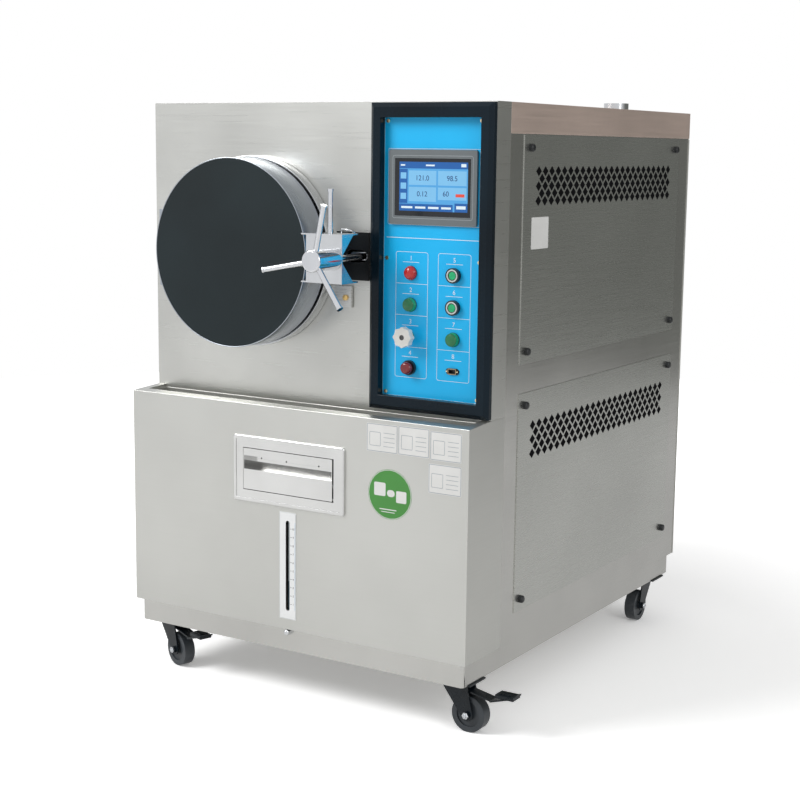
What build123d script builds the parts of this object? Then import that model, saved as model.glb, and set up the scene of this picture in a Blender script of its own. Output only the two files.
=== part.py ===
from build123d import *
from math import asin, cos, radians, sin, sqrt
import os

os.makedirs("parts", exist_ok=True)

# A pressure-type environmental test chamber on casters, in millimetres, +Z up.
# The origin is on the floor, below the middle of the whole object's outline.
# Places are given in cabinet coordinates: x from the cabinet's middle plane, y back
# from the face of the upper front panel, and z up from the floor.

# Cabinet
cabinet_width = 850.0
cabinet_depth = 975.0
body_height = 1095.0
lower_projection = 86.0
sheet = 1.5
fascia_return = 56.0
top_fold = 60.0

# Plinth and base
caster_height = 106.0
plinth_height = 49.0
plinth_inset = 9.5
plinth_sheet = 3.0
plinth_flange = 45.0
plinth_corner_radius = 8.0
base_corner_plate = 125.0

# Lower front cover and drip trough
rim_height = 478.0
rim_drop = 5.0
rim_lip_front = 28.0
rim_lip_side = 20.0
rim_hem = 15.0
trough_depth = 70.0
trough_sheet = 1.2
trough_clearance = 0.2

# Side frames and removable side panels
frame_sheet = 2.0
frame_flange = 30.0
frame_front_flange = 12.0
front_post_strip = 58.0
rear_post_strip = 64.0
bottom_rail_strip = 59.0
mid_rail_strip = 60.0
side_panel_height = 457.0
panel_lap = 46.0
knob_inset = 25.0
knob_radius = 8.0
knob_height = 9.5
knob_screw_radius = 3.0
screw_clearance = 0.1

# Diamond vents
vent_columns = 24
vent_pitch = 29.1
vent_row_pitch = 14.8
vent_diamond_width = 19.5
vent_diamond_height = 16.4
vent_below_panel_top = 101.0

# Round door, seen from the front
door_x = -144.5
door_radius = 195.5
door_front = 102.0
door_rear = 34.0
drum_wall = 2.0
drum_lip = 44.0
door_face_sheet = 1.5
door_face_recess = 0.5
door_face_gap = 0.3
pressure_plate_thickness = 22.0
pressure_plate_gap = 2.5
seal_radius = 171.0
seal_width = 11.6
seal_groove_depth = 5.0
seal_gap = 0.3

# Pressure vessel
vessel_bore_radius = 150.0
vessel_wall = 6.0
vessel_length = 470.0
vessel_dish = 60.0
vessel_flange_radius = 199.5
vessel_flange_front = 28.0
vessel_flange_gap = 0.5
vessel_hole_gap = 2.0
fit_gap = 0.3
weld_gap = 0.2

# Cradle in the frame, heater and sample rack in the vessel
cradle_front = 120.0
cradle_rear = 400.0
cradle_rail_width = 40.0
cradle_rail_height = 50.0
cradle_rail_sheet = 3.0
cradle_rail_below_axis = 196.0
saddle_width = 220.0
saddle_thickness = 8.0
saddle_height = 125.0
heater_tube_radius = 5.0
heater_leg_pitch = 30.0
heater_front = 40.0
heater_rear = 400.0
rack_drop = 62.0
rack_sheet = 2.0
rack_front = 20.0
rack_rear = 430.0
rack_edge = 14.0
rack_hole_radius = 6.0
rack_hole_pitch = 26.0

# Door hinge on the left
hinge_from_door = 24.0
hinge_depth = 30.0
hinge_knuckle_radius = 10.0
hinge_pin_radius = 5.0
hinge_pin_head = 4.0
hinge_running_gap = 0.08
hinge_arm_spread = 70.0
hinge_arm_height = 24.0
hinge_arm_front = 50.0
hinge_arm_rear = 36.0
hinge_arm_reach = 48.0
hinge_ear = 8.0
hinge_end_gap = 0.5
hinge_base = 5.0
hinge_base_width = 28.0

# Latch on the right
latch_x = 122.5
bracket_front = 110.0
bracket_rear = 52.0
bracket_half_height = 49.0
bracket_plate = 3.0
bracket_web_left = 57.5
bracket_right = 144.0
gusset_rear = 67.0
gusset_foot = 8.0
hub_front = 187.0
hub_radius = 22.0
hub_edge = 4.0
spoke_radius = 5.5
spoke_length = 115.0
spoke_lean = 8.0
spoke_root = 173.0
spoke_angles = (73.0, 191.0, 309.0)
spoke_cap_radius = 6.6
spoke_cap = 3.0
socket_gap = 0.05
spindle_radius = 7.0
spindle_collar_radius = 12.0
spindle_collar = 5.0
lug_reach = 26.0
lug_radius = 8.0
lug_front = 3.0
lug_thickness = 10.0
keeper_thickness = 6.0
keeper_left = 60.0
keeper_right = 138.5
keeper_half_height = 49.0
keeper_slot_height = 25.5
keeper_slot_left = 84.0
keeper_window_gap = 3.0
keeper_lap = 6.0
grip_x = 103.0
grip_y = 90.0
grip_radius = 5.0
grip_length = 88.0
grip_cap_radius = 6.2
grip_cap = 5.0

# Control panel
bezel_x = 285.0
bezel_width = 279.0
bezel_height = 613.0
bezel_proud = 17.5
bezel_bevel_width = 9.0
bezel_bevel_depth = 7.0
control_opening_width = 228.0
control_opening_height = 554.6
control_plate_sheet = 2.0
control_plate_lap = 9.0
plate_screw_half_pitch = 106.5
plate_screw_half_height = 271.0
plate_screw_radius = 2.0
plate_screw_head_radius = 4.0
plate_screw_head = 2.0
plate_screw_length = 10.0
column_pitch = 100.0
row_pitch = 63.4
first_row_below_middle = 28.0

# Touch screen
screen_above_middle = 142.0
screen_bezel_width = 200.4
screen_bezel_height = 146.9
screen_bezel_proud = 6.0
screen_bezel_corner = 5.0
screen_cutout_width = 192.0
screen_cutout_height = 138.0
screen_body_depth = 36.0
screen_body_gap = 0.5
screen_glass_width = 173.0
screen_glass_height = 113.0
screen_glass = 2.0

# Lamps, buttons and socket in the control plate
fitting_hole_radius = 11.15
fitting_body_radius = 11.0
fitting_body_length = 34.0
dome_lamp_radius = 14.5
dome_lamp_height = 12.0
lamp_radius = 13.5
lamp_height = 12.5
collar_radius = 15.0
collar_height = 9.5
low_collar_height = 7.5
plunger_radius = 10.35
plunger_gap = 0.08
plunger_head = 11.0
plunger_recess = 0.8
plunger_stem_radius = 5.0
plunger_stem = 14.0
button_travel = 3.5
mushroom_radius = 12.4
mushroom_height = 9.0
mushroom_clear = 4.5
socket_width = 30.0
socket_height = 12.5
socket_plate = 1.5
socket_port_width = 14.0
socket_port_height = 6.5
socket_port_depth = 8.0
socket_shell_width = 17.0
socket_shell_height = 9.0
socket_shell_proud = 2.0
socket_body_depth = 14.0

# Exhaust valve and its knob
valve_neck_radius = 6.0
valve_nut_width = 17.0
valve_nut = 4.0
valve_body_radius = 10.0
valve_body_length = 40.0
valve_stem_radius = 4.0
valve_stem_depth = 18.0
valve_knob_radius = 21.0
valve_knob_lobe = 4.5
valve_knob_lobes = 8
valve_knob_front = 32.5
valve_knob_thickness = 14.0
valve_knob_neck_radius = 9.0
valve_knob_gap = 0.5

# Water filling box with its flap, in the lower front cover
fill_x = -2.7
fill_middle = 335.0
fill_frame_width = 283.0
fill_frame_height = 142.5
fill_frame_proud = 4.0
fill_frame_edge = 3.0
fill_bead_width = 8.0
fill_bead_proud = 1.5
fill_opening_width = 231.0
fill_opening_height = 90.5
fill_box_depth = 62.0
fill_box_sheet = 1.5
fill_spout_radius = 12.0
fill_spout_wall = 1.5
fill_spout_length = 55.0
fill_cover_gap = 0.5
flap_sheet = 1.5
flap_gap_left = 0.8
flap_gap_right = 3.6
flap_gap_below = 1.5
flap_height = 87.5
flap_pocket_above_bottom = 43.0
flap_pocket_height = 29.0
flap_pocket_depth = 23.0
flap_pocket_rise = 13.0
flap_hole_radius = 1.8
flap_hole_places = (-87.3, -22.4, 60.0)
flap_pivot_height = 5.5
flap_pivot_back = 3.5
flap_rod_radius = 3.0
flap_pin_radius = 2.0
flap_pin_gap = 0.08

# Water tank with the level gauge
gauge_x = -4.5
gauge_middle = 138.5
gauge_plate_width = 42.0
gauge_plate_height = 230.0
gauge_plate_sheet = 1.2
gauge_slot_width = 10.5
gauge_slot_height = 194.0
gauge_tube_radius = 5.0
gauge_tube_wall = 1.0
gauge_tube_length = 216.0
gauge_tube_back = 8.0
gauge_boss = 14.0
gauge_boss_height = 10.0
tank_width = 390.0
tank_front = 60.0
tank_rear = 150.0
tank_height = 245.0
tank_wall = 2.0
tank_spout_gap = 2.0

# Drain plug, top nozzle and rear cable gland
drain_x = -9.0
drain_below_body = 7.0
drain_radius = 6.9
drain_washer = 7.0
drain_stem_radius = 4.0
drain_stem = 12.0
nozzle_x = 355.0
nozzle_y = 695.0
nozzle_radius = 28.0
nozzle_bore_radius = 23.0
nozzle_height = 16.0
nozzle_below = 25.0
nozzle_flange_radius = 34.0
nozzle_flange = 2.0
gland_x = 300.0
gland_height = 120.0
gland_radius = 14.0
gland_bore_radius = 7.0
gland_thread_radius = 10.0
gland_proud = 28.0
gland_inside = 14.0

# Casters
caster_from_side = 52.0
front_caster_from_front = 65.0
rear_caster_from_rear = 75.0
caster_plate_length = 92.0
caster_plate_width = 64.0
caster_plate = 3.5
caster_hole_pitch_x = 74.0
caster_hole_pitch_y = 46.0
caster_hole_radius = 4.2
race_radius = 26.0
race_height = 5.0
kingpin_radius = 5.0
kingpin_nut_radius = 9.0
kingpin_nut = 5.0
caster_gap = 0.5
wheel_radius = 37.5
wheel_width = 25.0
wheel_core_radius = 26.0
wheel_core_recess = 3.0
wheel_boss_radius = 9.0
caster_trail = 31.0
axle_radius = 4.0
axle_nut_radius = 7.5
axle_nut = 5.0
running_gap = 0.08
fork_sheet = 3.0
fork_crown = 3.5
fork_wheel_gap = 2.5
fork_back = 27.0
fork_ahead = 30.0
fork_eye_radius = 13.0
pedal_pivot_ahead = 19.0
pedal_pivot_drop = 9.5
pedal_pin_radius = 2.5
pedal_knuckle_radius = 4.0
pedal_width = 26.0
pedal_sheet = 3.5
pedal_neck = 82.0
pedal_neck_drop = 25.0
pedal_length = 135.0
pedal_tip_rise = 16.0
pedal_pad_width = 34.0

# Heights above the floor
body_bottom = caster_height + plinth_height
body_top = body_bottom + body_height
rim_top = body_bottom + rim_height
front_middle = (rim_top + body_top) / 2
lower_panel_bottom = body_bottom + bottom_rail_strip
lower_panel_top = lower_panel_bottom + side_panel_height
upper_panel_bottom = lower_panel_top + mid_rail_strip
upper_panel_top = upper_panel_bottom + side_panel_height
cover_fold_bottom = body_top - top_fold
trough_top = rim_top - rim_drop - sheet
trough_bottom = trough_top - trough_depth

# Depths behind the upper front face
side_panel_front = fascia_return + front_post_strip
side_panel_rear = cabinet_depth - rear_post_strip
side_panel_middle = (side_panel_front + side_panel_rear) / 2
control_plate_front = sheet
control_plate_back = control_plate_front + control_plate_sheet

# Half widths
skin = cabinet_width / 2
frame_skin = skin - sheet
frame_inside = frame_skin - frame_sheet
plinth_skin = skin - plinth_inset
plinth_front = -lower_projection + plinth_inset
plinth_rear = cabinet_depth - plinth_inset

# The outline's reach on each side sets where the cabinet stands over the origin
caster_x = skin - caster_from_side
spoke_tip = spoke_root + spoke_length * sin(radians(spoke_lean))
front_reach = spoke_tip + spoke_cap_radius * cos(radians(spoke_lean))
rear_reach = cabinet_depth + gland_proud
left_reach = skin + knob_height
right_reach = caster_x + pedal_length
face_y = (front_reach - rear_reach) / 2
cabinet_x = (left_reach - right_reach) / 2


def facing_front(y):
    """A plane that looks out of the front at depth y; a sketch there is (x, z)."""
    return Plane(origin=(cabinet_x, face_y + y, 0), x_dir=(1, 0, 0), z_dir=(0, -1, 0))


def facing_right(x):
    """A plane that looks out of the right side at x; a sketch there is (y, z)."""
    return Plane(origin=(cabinet_x + x, face_y, 0), x_dir=(0, 1, 0), z_dir=(1, 0, 0))


def facing_up(z):
    """A level plane at height z; a sketch there is (x, y)."""
    return Plane(origin=(cabinet_x, face_y, z))


def block(x, y, z, mode=Mode.ADD):
    """A box between two sides along each axis, in cabinet coordinates."""
    middle = (cabinet_x + sum(x) / 2, face_y + sum(y) / 2, sum(z) / 2)
    with Locations(middle):
        Box(x[1] - x[0], y[1] - y[0], z[1] - z[0], mode=mode)


def rod_along_y(x, z, radius, y, mode=Mode.ADD):
    """A round bar between two depths."""
    with Locations(Location((cabinet_x + x, face_y + sum(y) / 2, z), (90, 0, 0))):
        Cylinder(radius, y[1] - y[0], mode=mode)


def rod_along_z(x, y, radius, z, mode=Mode.ADD):
    """A round bar between two heights."""
    with Locations((cabinet_x + x, face_y + y, sum(z) / 2)):
        Cylinder(radius, z[1] - z[0], mode=mode)


def rod_along_x(y, z, radius, x, mode=Mode.ADD):
    """A round bar between two sides."""
    with Locations(Location((cabinet_x + sum(x) / 2, face_y + y, z), (0, 90, 0))):
        Cylinder(radius, x[1] - x[0], mode=mode)


def write_piece(piece, name):
    """Label a finished piece and write it as a STEP file."""
    piece.part.label = name
    export_step(piece.part, f"parts/{name}.step")


def diamond_vent():
    """Five staggered rows of diamonds about the sketch's own middle."""
    half_width = vent_diamond_width / 2
    half_height = vent_diamond_height / 2
    corners = [(-half_width, 0), (0, -half_height), (half_width, 0), (0, half_height)]
    with BuildSketch() as vent:
        with GridLocations(vent_pitch, 2 * vent_row_pitch, vent_columns, 3):
            Polygon(*corners)
        with GridLocations(vent_pitch, 2 * vent_row_pitch, vent_columns - 1, 2):
            Polygon(*corners)
    return vent.sketch


# Welded plinth of folded channel, with the floor deck and a plate for each caster
with BuildPart() as base_frame:
    plinth_width = 2 * plinth_skin
    plinth_depth = plinth_rear - plinth_front
    plinth_middle = (plinth_front + plinth_rear) / 2
    with BuildSketch(facing_up(caster_height)):
        with Locations((0, plinth_middle)):
            RectangleRounded(plinth_width, plinth_depth, plinth_corner_radius)
    extrude(amount=plinth_height)
    with BuildSketch(facing_up(caster_height + plinth_sheet)):
        with Locations((0, plinth_middle)):
            RectangleRounded(
                plinth_width - 2 * plinth_sheet,
                plinth_depth - 2 * plinth_sheet,
                plinth_corner_radius - plinth_sheet,
            )
    extrude(amount=plinth_height - 2 * plinth_sheet, mode=Mode.SUBTRACT)
    with BuildSketch(facing_up(caster_height)):
        with Locations((0, plinth_middle)):
            Rectangle(plinth_width - 2 * plinth_flange, plinth_depth - 2 * plinth_flange)
    extrude(amount=plinth_sheet, mode=Mode.SUBTRACT)
    corner_x = plinth_skin - plinth_sheet - base_corner_plate / 2
    corner_front = plinth_front + plinth_sheet + base_corner_plate / 2
    corner_rear = plinth_rear - plinth_sheet - base_corner_plate / 2
    with BuildSketch(facing_up(caster_height)):
        with Locations(
            (-corner_x, corner_front),
            (corner_x, corner_front),
            (-corner_x, corner_rear),
            (corner_x, corner_rear),
        ):
            Rectangle(base_corner_plate, base_corner_plate)
    extrude(amount=plinth_sheet)
    rod_along_y(
        drain_x,
        body_bottom - drain_below_body,
        drain_stem_radius + running_gap,
        (plinth_front - 1, plinth_front + plinth_sheet + 1),
        Mode.SUBTRACT,
    )
write_piece(base_frame, "base_frame")

# Frame: two flanged side frames with windows, angles across, and the vessel's cradle
axis_z = front_middle
vessel_outer_radius = vessel_bore_radius + vessel_wall
frame_top = body_top - sheet
frame_front = sheet
frame_rear = cabinet_depth - sheet
window_front = side_panel_front + panel_lap
window_rear = side_panel_rear - panel_lap
side_windows = [
    (lower_panel_bottom + panel_lap, lower_panel_top - panel_lap),
    (upper_panel_bottom + panel_lap, upper_panel_top - panel_lap),
]
knob_depths = (side_panel_front + knob_inset, side_panel_rear - knob_inset)
knob_heights = (
    lower_panel_bottom + knob_inset,
    lower_panel_top - knob_inset,
    upper_panel_bottom + knob_inset,
    upper_panel_top - knob_inset,
)
with BuildPart() as cabinet_frame:
    for side in (-1, 1):
        web = sorted((side * frame_inside, side * frame_skin))
        flange = sorted((side * (frame_inside - frame_flange), side * frame_inside))
        front_flange = sorted((side * (frame_inside - frame_front_flange), side * frame_inside))
        block(web, (frame_front, frame_rear), (body_bottom, frame_top))
        for bottom, top in side_windows:
            block(web, (window_front, window_rear), (bottom, top), Mode.SUBTRACT)
        block(front_flange, (frame_front, frame_front + frame_sheet), (body_bottom, frame_top))
        block(flange, (frame_rear - frame_sheet, frame_rear), (body_bottom, frame_top))
        block(flange, (frame_front, frame_rear), (body_bottom, body_bottom + frame_sheet))
        block(flange, (frame_front, frame_rear), (frame_top - frame_sheet, frame_top))
    across = (-frame_inside, frame_inside)
    for front, rear, upright in (
        (frame_front, frame_front + frame_flange, (frame_front, frame_front + frame_sheet)),
        (frame_rear - frame_flange, frame_rear, (frame_rear - frame_sheet, frame_rear)),
    ):
        block(across, (front, rear), (frame_top - frame_sheet, frame_top))
        block(across, upright, (frame_top - frame_front_flange, frame_top))
    rail_top = axis_z - cradle_rail_below_axis
    for depth in (cradle_front, cradle_rear):
        rail = (depth - cradle_rail_width / 2, depth + cradle_rail_width / 2)
        inner = (rail[0] + cradle_rail_sheet, rail[1] - cradle_rail_sheet)
        block(across, rail, (rail_top - cradle_rail_height, rail_top))
        block(
            across,
            inner,
            (rail_top - cradle_rail_height - 1, rail_top - cradle_rail_sheet),
            Mode.SUBTRACT,
        )
        block(
            (door_x - saddle_width / 2, door_x + saddle_width / 2),
            (depth - saddle_thickness / 2, depth + saddle_thickness / 2),
            (rail_top - cradle_rail_sheet, rail_top + saddle_height),
        )
    rod_along_y(
        door_x,
        axis_z,
        vessel_outer_radius + fit_gap,
        (cradle_front - cradle_rail_width, cradle_rear + cradle_rail_width),
        Mode.SUBTRACT,
    )
    for depth in knob_depths:
        for height in knob_heights:
            rod_along_x(
                depth,
                height,
                knob_screw_radius + screw_clearance,
                (-skin, skin),
                Mode.SUBTRACT,
            )
write_piece(cabinet_frame, "cabinet_frame")

# Top cover: a folded tray that laps the sides and the rear
with BuildPart() as top_cover:
    cover_span = (fascia_return, cabinet_depth)
    block((-skin, skin), cover_span, (body_top - sheet, body_top))
    for side in (-1, 1):
        fold = sorted((side * frame_skin, side * skin))
        block(fold, cover_span, (cover_fold_bottom, body_top))
    rear_fold = (cabinet_depth - sheet, cabinet_depth)
    block((-skin, skin), rear_fold, (cover_fold_bottom, body_top))
    rod_along_z(
        nozzle_x,
        nozzle_y,
        nozzle_radius + screw_clearance,
        (body_top - 2 * sheet, body_top + 1),
        Mode.SUBTRACT,
    )
write_piece(top_cover, "top_cover")

# Rear panel, with a vent high up and the hole of the cable gland
with BuildPart() as rear_panel:
    rear_panel_top = upper_panel_top
    rear_outline = (cabinet_depth - sheet, cabinet_depth)
    block((-skin, skin), rear_outline, (body_bottom, rear_panel_top))
    vent_height = rear_panel_top - vent_below_panel_top
    with BuildSketch(facing_front(cabinet_depth)):
        with Locations((0, vent_height)):
            add(diamond_vent())
    extrude(amount=sheet, mode=Mode.SUBTRACT)
    rod_along_y(
        gland_x,
        body_bottom + gland_height,
        gland_thread_radius + screw_clearance,
        (cabinet_depth - 2 * sheet, cabinet_depth + 1),
        Mode.SUBTRACT,
    )
write_piece(rear_panel, "rear_panel")

# Four removable side panels with pierced vents, held by knobs at their corners
for side, side_name in ((1, "right"), (-1, "left")):
    for bottom, top, level in (
        (upper_panel_bottom, upper_panel_top, "upper"),
        (lower_panel_bottom, lower_panel_top, "lower"),
    ):
        with BuildPart() as side_panel:
            skin_sheet = sorted((side * frame_skin, side * skin))
            block(skin_sheet, (side_panel_front, side_panel_rear), (bottom, top))
            with BuildSketch(facing_right(skin_sheet[0])):
                with Locations((side_panel_middle, top - vent_below_panel_top)):
                    add(diamond_vent())
            extrude(amount=sheet, mode=Mode.SUBTRACT)
            for depth in knob_depths:
                for height in (bottom + knob_inset, top - knob_inset):
                    rod_along_x(
                        depth,
                        height,
                        knob_screw_radius + screw_clearance,
                        skin_sheet,
                        Mode.SUBTRACT,
                    )
        write_piece(side_panel, f"side_panel_{side_name}_{level}")

# Domed knobs with a screw that passes the panel and the frame
with BuildPart() as side_panel_knobs:
    for side in (-1, 1):
        head = sorted((side * skin, side * (skin + knob_height)))
        screw = sorted((side * (frame_inside - frame_sheet), side * skin))
        for depth in knob_depths:
            for height in knob_heights:
                rod_along_x(depth, height, knob_radius, head)
                rod_along_x(depth, height, knob_screw_radius, screw)
    rims = side_panel_knobs.edges().filter_by(GeomType.CIRCLE)
    outermost = rims.group_by(Axis.X)[0] + rims.group_by(Axis.X)[-1]
    fillet(outermost, knob_radius / 2)
write_piece(side_panel_knobs, "side_panel_knobs")

# Upper front panel: a shallow folded box whose foot reaches down into the trough
bezel_opening_x = (
    bezel_x - control_opening_width / 2,
    bezel_x + control_opening_width / 2,
)
bezel_opening_z = (
    axis_z - control_opening_height / 2,
    axis_z + control_opening_height / 2,
)
keeper_slot_radius = keeper_slot_height / 2
keeper_slot_right = latch_x + keeper_slot_radius
with BuildPart() as upper_front_panel:
    block((-skin, skin), (0, sheet), (rim_top, body_top))
    block((-skin, skin), (0, fascia_return), (body_top - sheet, body_top))
    for side in (-1, 1):
        block(sorted((side * frame_skin, side * skin)), (0, fascia_return), (rim_top, body_top))
    foot = frame_skin - screw_clearance
    block((-foot, foot), (0, sheet), (trough_bottom, rim_top))
    through = (-1, sheet + 1)
    rod_along_y(door_x, axis_z, vessel_outer_radius + vessel_hole_gap, through, Mode.SUBTRACT)
    block(bezel_opening_x, through, bezel_opening_z, Mode.SUBTRACT)
    block(
        (keeper_left + keeper_lap, keeper_slot_right + keeper_window_gap),
        through,
        (
            axis_z - keeper_half_height + keeper_lap,
            axis_z + keeper_half_height - keeper_lap,
        ),
        Mode.SUBTRACT,
    )
write_piece(upper_front_panel, "upper_front_panel")

# Lower front cover: a folded box with an inward rim, cut for the filling box and gauge
cover_front = -lower_projection
fill_z = body_bottom + fill_middle
gauge_z = body_bottom + gauge_middle
trough_front = cover_front + rim_lip_front
trough_side = skin - rim_lip_side
with BuildPart() as lower_front_cover:
    with BuildSketch(facing_right(-skin)):
        with BuildLine():
            Polyline(
                (cover_front, body_bottom),
                (fascia_return, body_bottom),
                (fascia_return, rim_top),
                (0, rim_top),
                (cover_front, rim_top - rim_drop),
                close=True,
            )
        make_face()
    extrude(amount=cabinet_width)
    with BuildSketch(facing_right(-frame_skin)):
        with BuildLine():
            Polyline(
                (cover_front + sheet, body_bottom - 1),
                (fascia_return + 1, body_bottom - 1),
                (fascia_return + 1, rim_top - sheet),
                (0, rim_top - sheet),
                (cover_front + sheet, rim_top - rim_drop - sheet),
                close=True,
            )
        make_face()
    extrude(amount=2 * frame_skin, mode=Mode.SUBTRACT)
    block(
        (-trough_side, trough_side),
        (trough_front, fascia_return + 1),
        (trough_bottom, rim_top + 1),
        Mode.SUBTRACT,
    )
    block(
        (-frame_skin, frame_skin),
        (0, fascia_return + 1),
        (trough_bottom, rim_top + 1),
        Mode.SUBTRACT,
    )
    hem_bottom = rim_top - rim_drop - rim_hem
    hem_front = trough_front - sheet
    hem_rise = rim_drop * rim_lip_front / lower_projection
    hem_top = rim_top - rim_drop + hem_rise - 0.9 * sheet
    block((-trough_side, trough_side), (hem_front, trough_front), (hem_bottom, hem_top))
    for side in (-1, 1):
        with BuildSketch(facing_right(trough_side if side > 0 else -trough_side - sheet)):
            with BuildLine():
                Polyline(
                    (hem_front, hem_bottom),
                    (0, hem_bottom),
                    (0, rim_top - sheet / 2),
                    (hem_front, hem_top),
                    close=True,
                )
            make_face()
        extrude(amount=sheet)
    front_sheet = (cover_front - 1, cover_front + sheet + 1)
    fill_cut_width = fill_opening_width + 2 * fill_box_sheet + 2 * fill_cover_gap
    fill_cut_height = fill_opening_height + 2 * fill_box_sheet + 2 * fill_cover_gap
    block(
        (fill_x - fill_cut_width / 2, fill_x + fill_cut_width / 2),
        front_sheet,
        (fill_z - fill_cut_height / 2, fill_z + fill_cut_height / 2),
        Mode.SUBTRACT,
    )
    block(
        (gauge_x - gauge_slot_width, gauge_x + gauge_slot_width),
        front_sheet,
        (gauge_z - gauge_slot_height / 2, gauge_z + gauge_slot_height / 2),
        Mode.SUBTRACT,
    )
write_piece(lower_front_cover, "lower_front_cover")

# Drip trough: an open channel hung inside the rim, against the panel's foot
with BuildPart() as drip_trough:
    trough_half = trough_side - trough_clearance
    trough_span = (trough_front + trough_clearance, -trough_clearance)
    block((-trough_half, trough_half), trough_span, (trough_bottom, trough_top))
    block(
        (-trough_half + trough_sheet, trough_half - trough_sheet),
        (trough_span[0] + trough_sheet, trough_span[1] - trough_sheet),
        (trough_bottom + trough_sheet, trough_top + 1),
        Mode.SUBTRACT,
    )
write_piece(drip_trough, "drip_trough")

# Black bezel: a bevelled picture frame round the control plate
with BuildPart() as control_bezel:
    with BuildSketch(facing_front(0)):
        with Locations((bezel_x, axis_z)):
            Rectangle(bezel_width, bezel_height)
    extrude(amount=bezel_proud)
    front_edges = control_bezel.faces().sort_by(Axis.Y)[0].edges()
    chamfer(front_edges, length=bezel_bevel_depth, length2=bezel_bevel_width)
    block(bezel_opening_x, (-bezel_proud - 1, 1), bezel_opening_z, Mode.SUBTRACT)
write_piece(control_bezel, "control_bezel")

# Blue control plate, pierced for everything that it carries
left_column = bezel_x - column_pitch / 2
right_column = bezel_x + column_pitch / 2
rows = [axis_z - first_row_below_middle - row_pitch * row for row in range(4)]
screen_z = axis_z + screen_above_middle
fitting_places = [
    (left_column, rows[0]),
    (left_column, rows[1]),
    (left_column, rows[3]),
    (right_column, rows[0]),
    (right_column, rows[1]),
    (right_column, rows[2]),
]
plate_screw_places = [
    (bezel_x + side * plate_screw_half_pitch, axis_z + level * plate_screw_half_height)
    for side in (-1, 1)
    for level in (-1, 0, 1)
]
with BuildPart() as control_plate:
    with BuildSketch(facing_front(control_plate_back)):
        with Locations((bezel_x, axis_z)):
            Rectangle(
                control_opening_width + 2 * control_plate_lap,
                control_opening_height + 2 * control_plate_lap,
            )
        with Locations((bezel_x, screen_z)):
            Rectangle(screen_cutout_width, screen_cutout_height, mode=Mode.SUBTRACT)
        with Locations(*fitting_places):
            Circle(fitting_hole_radius, mode=Mode.SUBTRACT)
        with Locations((left_column, rows[2])):
            Circle(valve_neck_radius + screw_clearance, mode=Mode.SUBTRACT)
        with Locations((right_column, rows[3])):
            Rectangle(
                socket_shell_width + 2 * screw_clearance,
                socket_shell_height + 2 * screw_clearance,
                mode=Mode.SUBTRACT,
            )
        with Locations(*plate_screw_places):
            Circle(plate_screw_radius + screw_clearance, mode=Mode.SUBTRACT)
    extrude(amount=control_plate_sheet)
write_piece(control_plate, "control_plate")

# Pan-head screws of the control plate
with BuildPart() as control_plate_screws:
    for x, z in plate_screw_places:
        head = (control_plate_front - plate_screw_head, control_plate_front)
        rod_along_y(x, z, plate_screw_head_radius, head)
        rod_along_y(x, z, plate_screw_radius, (head[1], head[1] + plate_screw_length))
write_piece(control_plate_screws, "control_plate_screws")

# Touch screen: a moulded housing through the plate, with its glass let into the bezel
screen_front = control_plate_front - screen_bezel_proud
with BuildPart() as hmi_housing:
    with BuildSketch(facing_front(control_plate_front)):
        with Locations((bezel_x, screen_z)):
            RectangleRounded(screen_bezel_width, screen_bezel_height, screen_bezel_corner)
    extrude(amount=screen_bezel_proud)
    with BuildSketch(facing_front(control_plate_front + screen_body_depth)):
        with Locations((bezel_x, screen_z)):
            Rectangle(
                screen_cutout_width - 2 * screen_body_gap,
                screen_cutout_height - 2 * screen_body_gap,
            )
    extrude(amount=screen_body_depth)
    with BuildSketch(facing_front(screen_front + screen_glass)):
        with Locations((bezel_x, screen_z)):
            Rectangle(screen_glass_width, screen_glass_height)
    extrude(amount=screen_glass, mode=Mode.SUBTRACT)
write_piece(hmi_housing, "hmi_housing")

with BuildPart() as hmi_screen:
    with BuildSketch(facing_front(screen_front + screen_glass)):
        with Locations((bezel_x, screen_z)):
            Rectangle(
                screen_glass_width - 2 * weld_gap,
                screen_glass_height - 2 * weld_gap,
            )
    extrude(amount=screen_glass - weld_gap)
write_piece(hmi_screen, "hmi_screen")

# Data socket: a round-ended plate with a shell, open at its port
with BuildPart() as usb_socket:
    with BuildSketch(facing_front(control_plate_front)):
        with Locations((right_column, rows[3])):
            SlotOverall(socket_width, socket_height)
    extrude(amount=socket_plate)
    socket_shell = (
        control_plate_front - socket_plate - socket_shell_proud,
        control_plate_front + socket_body_depth,
    )
    block(
        (right_column - socket_shell_width / 2, right_column + socket_shell_width / 2),
        socket_shell,
        (rows[3] - socket_shell_height / 2, rows[3] + socket_shell_height / 2),
    )
    block(
        (right_column - socket_port_width / 2, right_column + socket_port_width / 2),
        (socket_shell[0] - 1, socket_shell[0] + socket_port_depth),
        (rows[3] - socket_port_height / 2, rows[3] + socket_port_height / 2),
        Mode.SUBTRACT,
    )
write_piece(usb_socket, "usb_socket")

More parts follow.
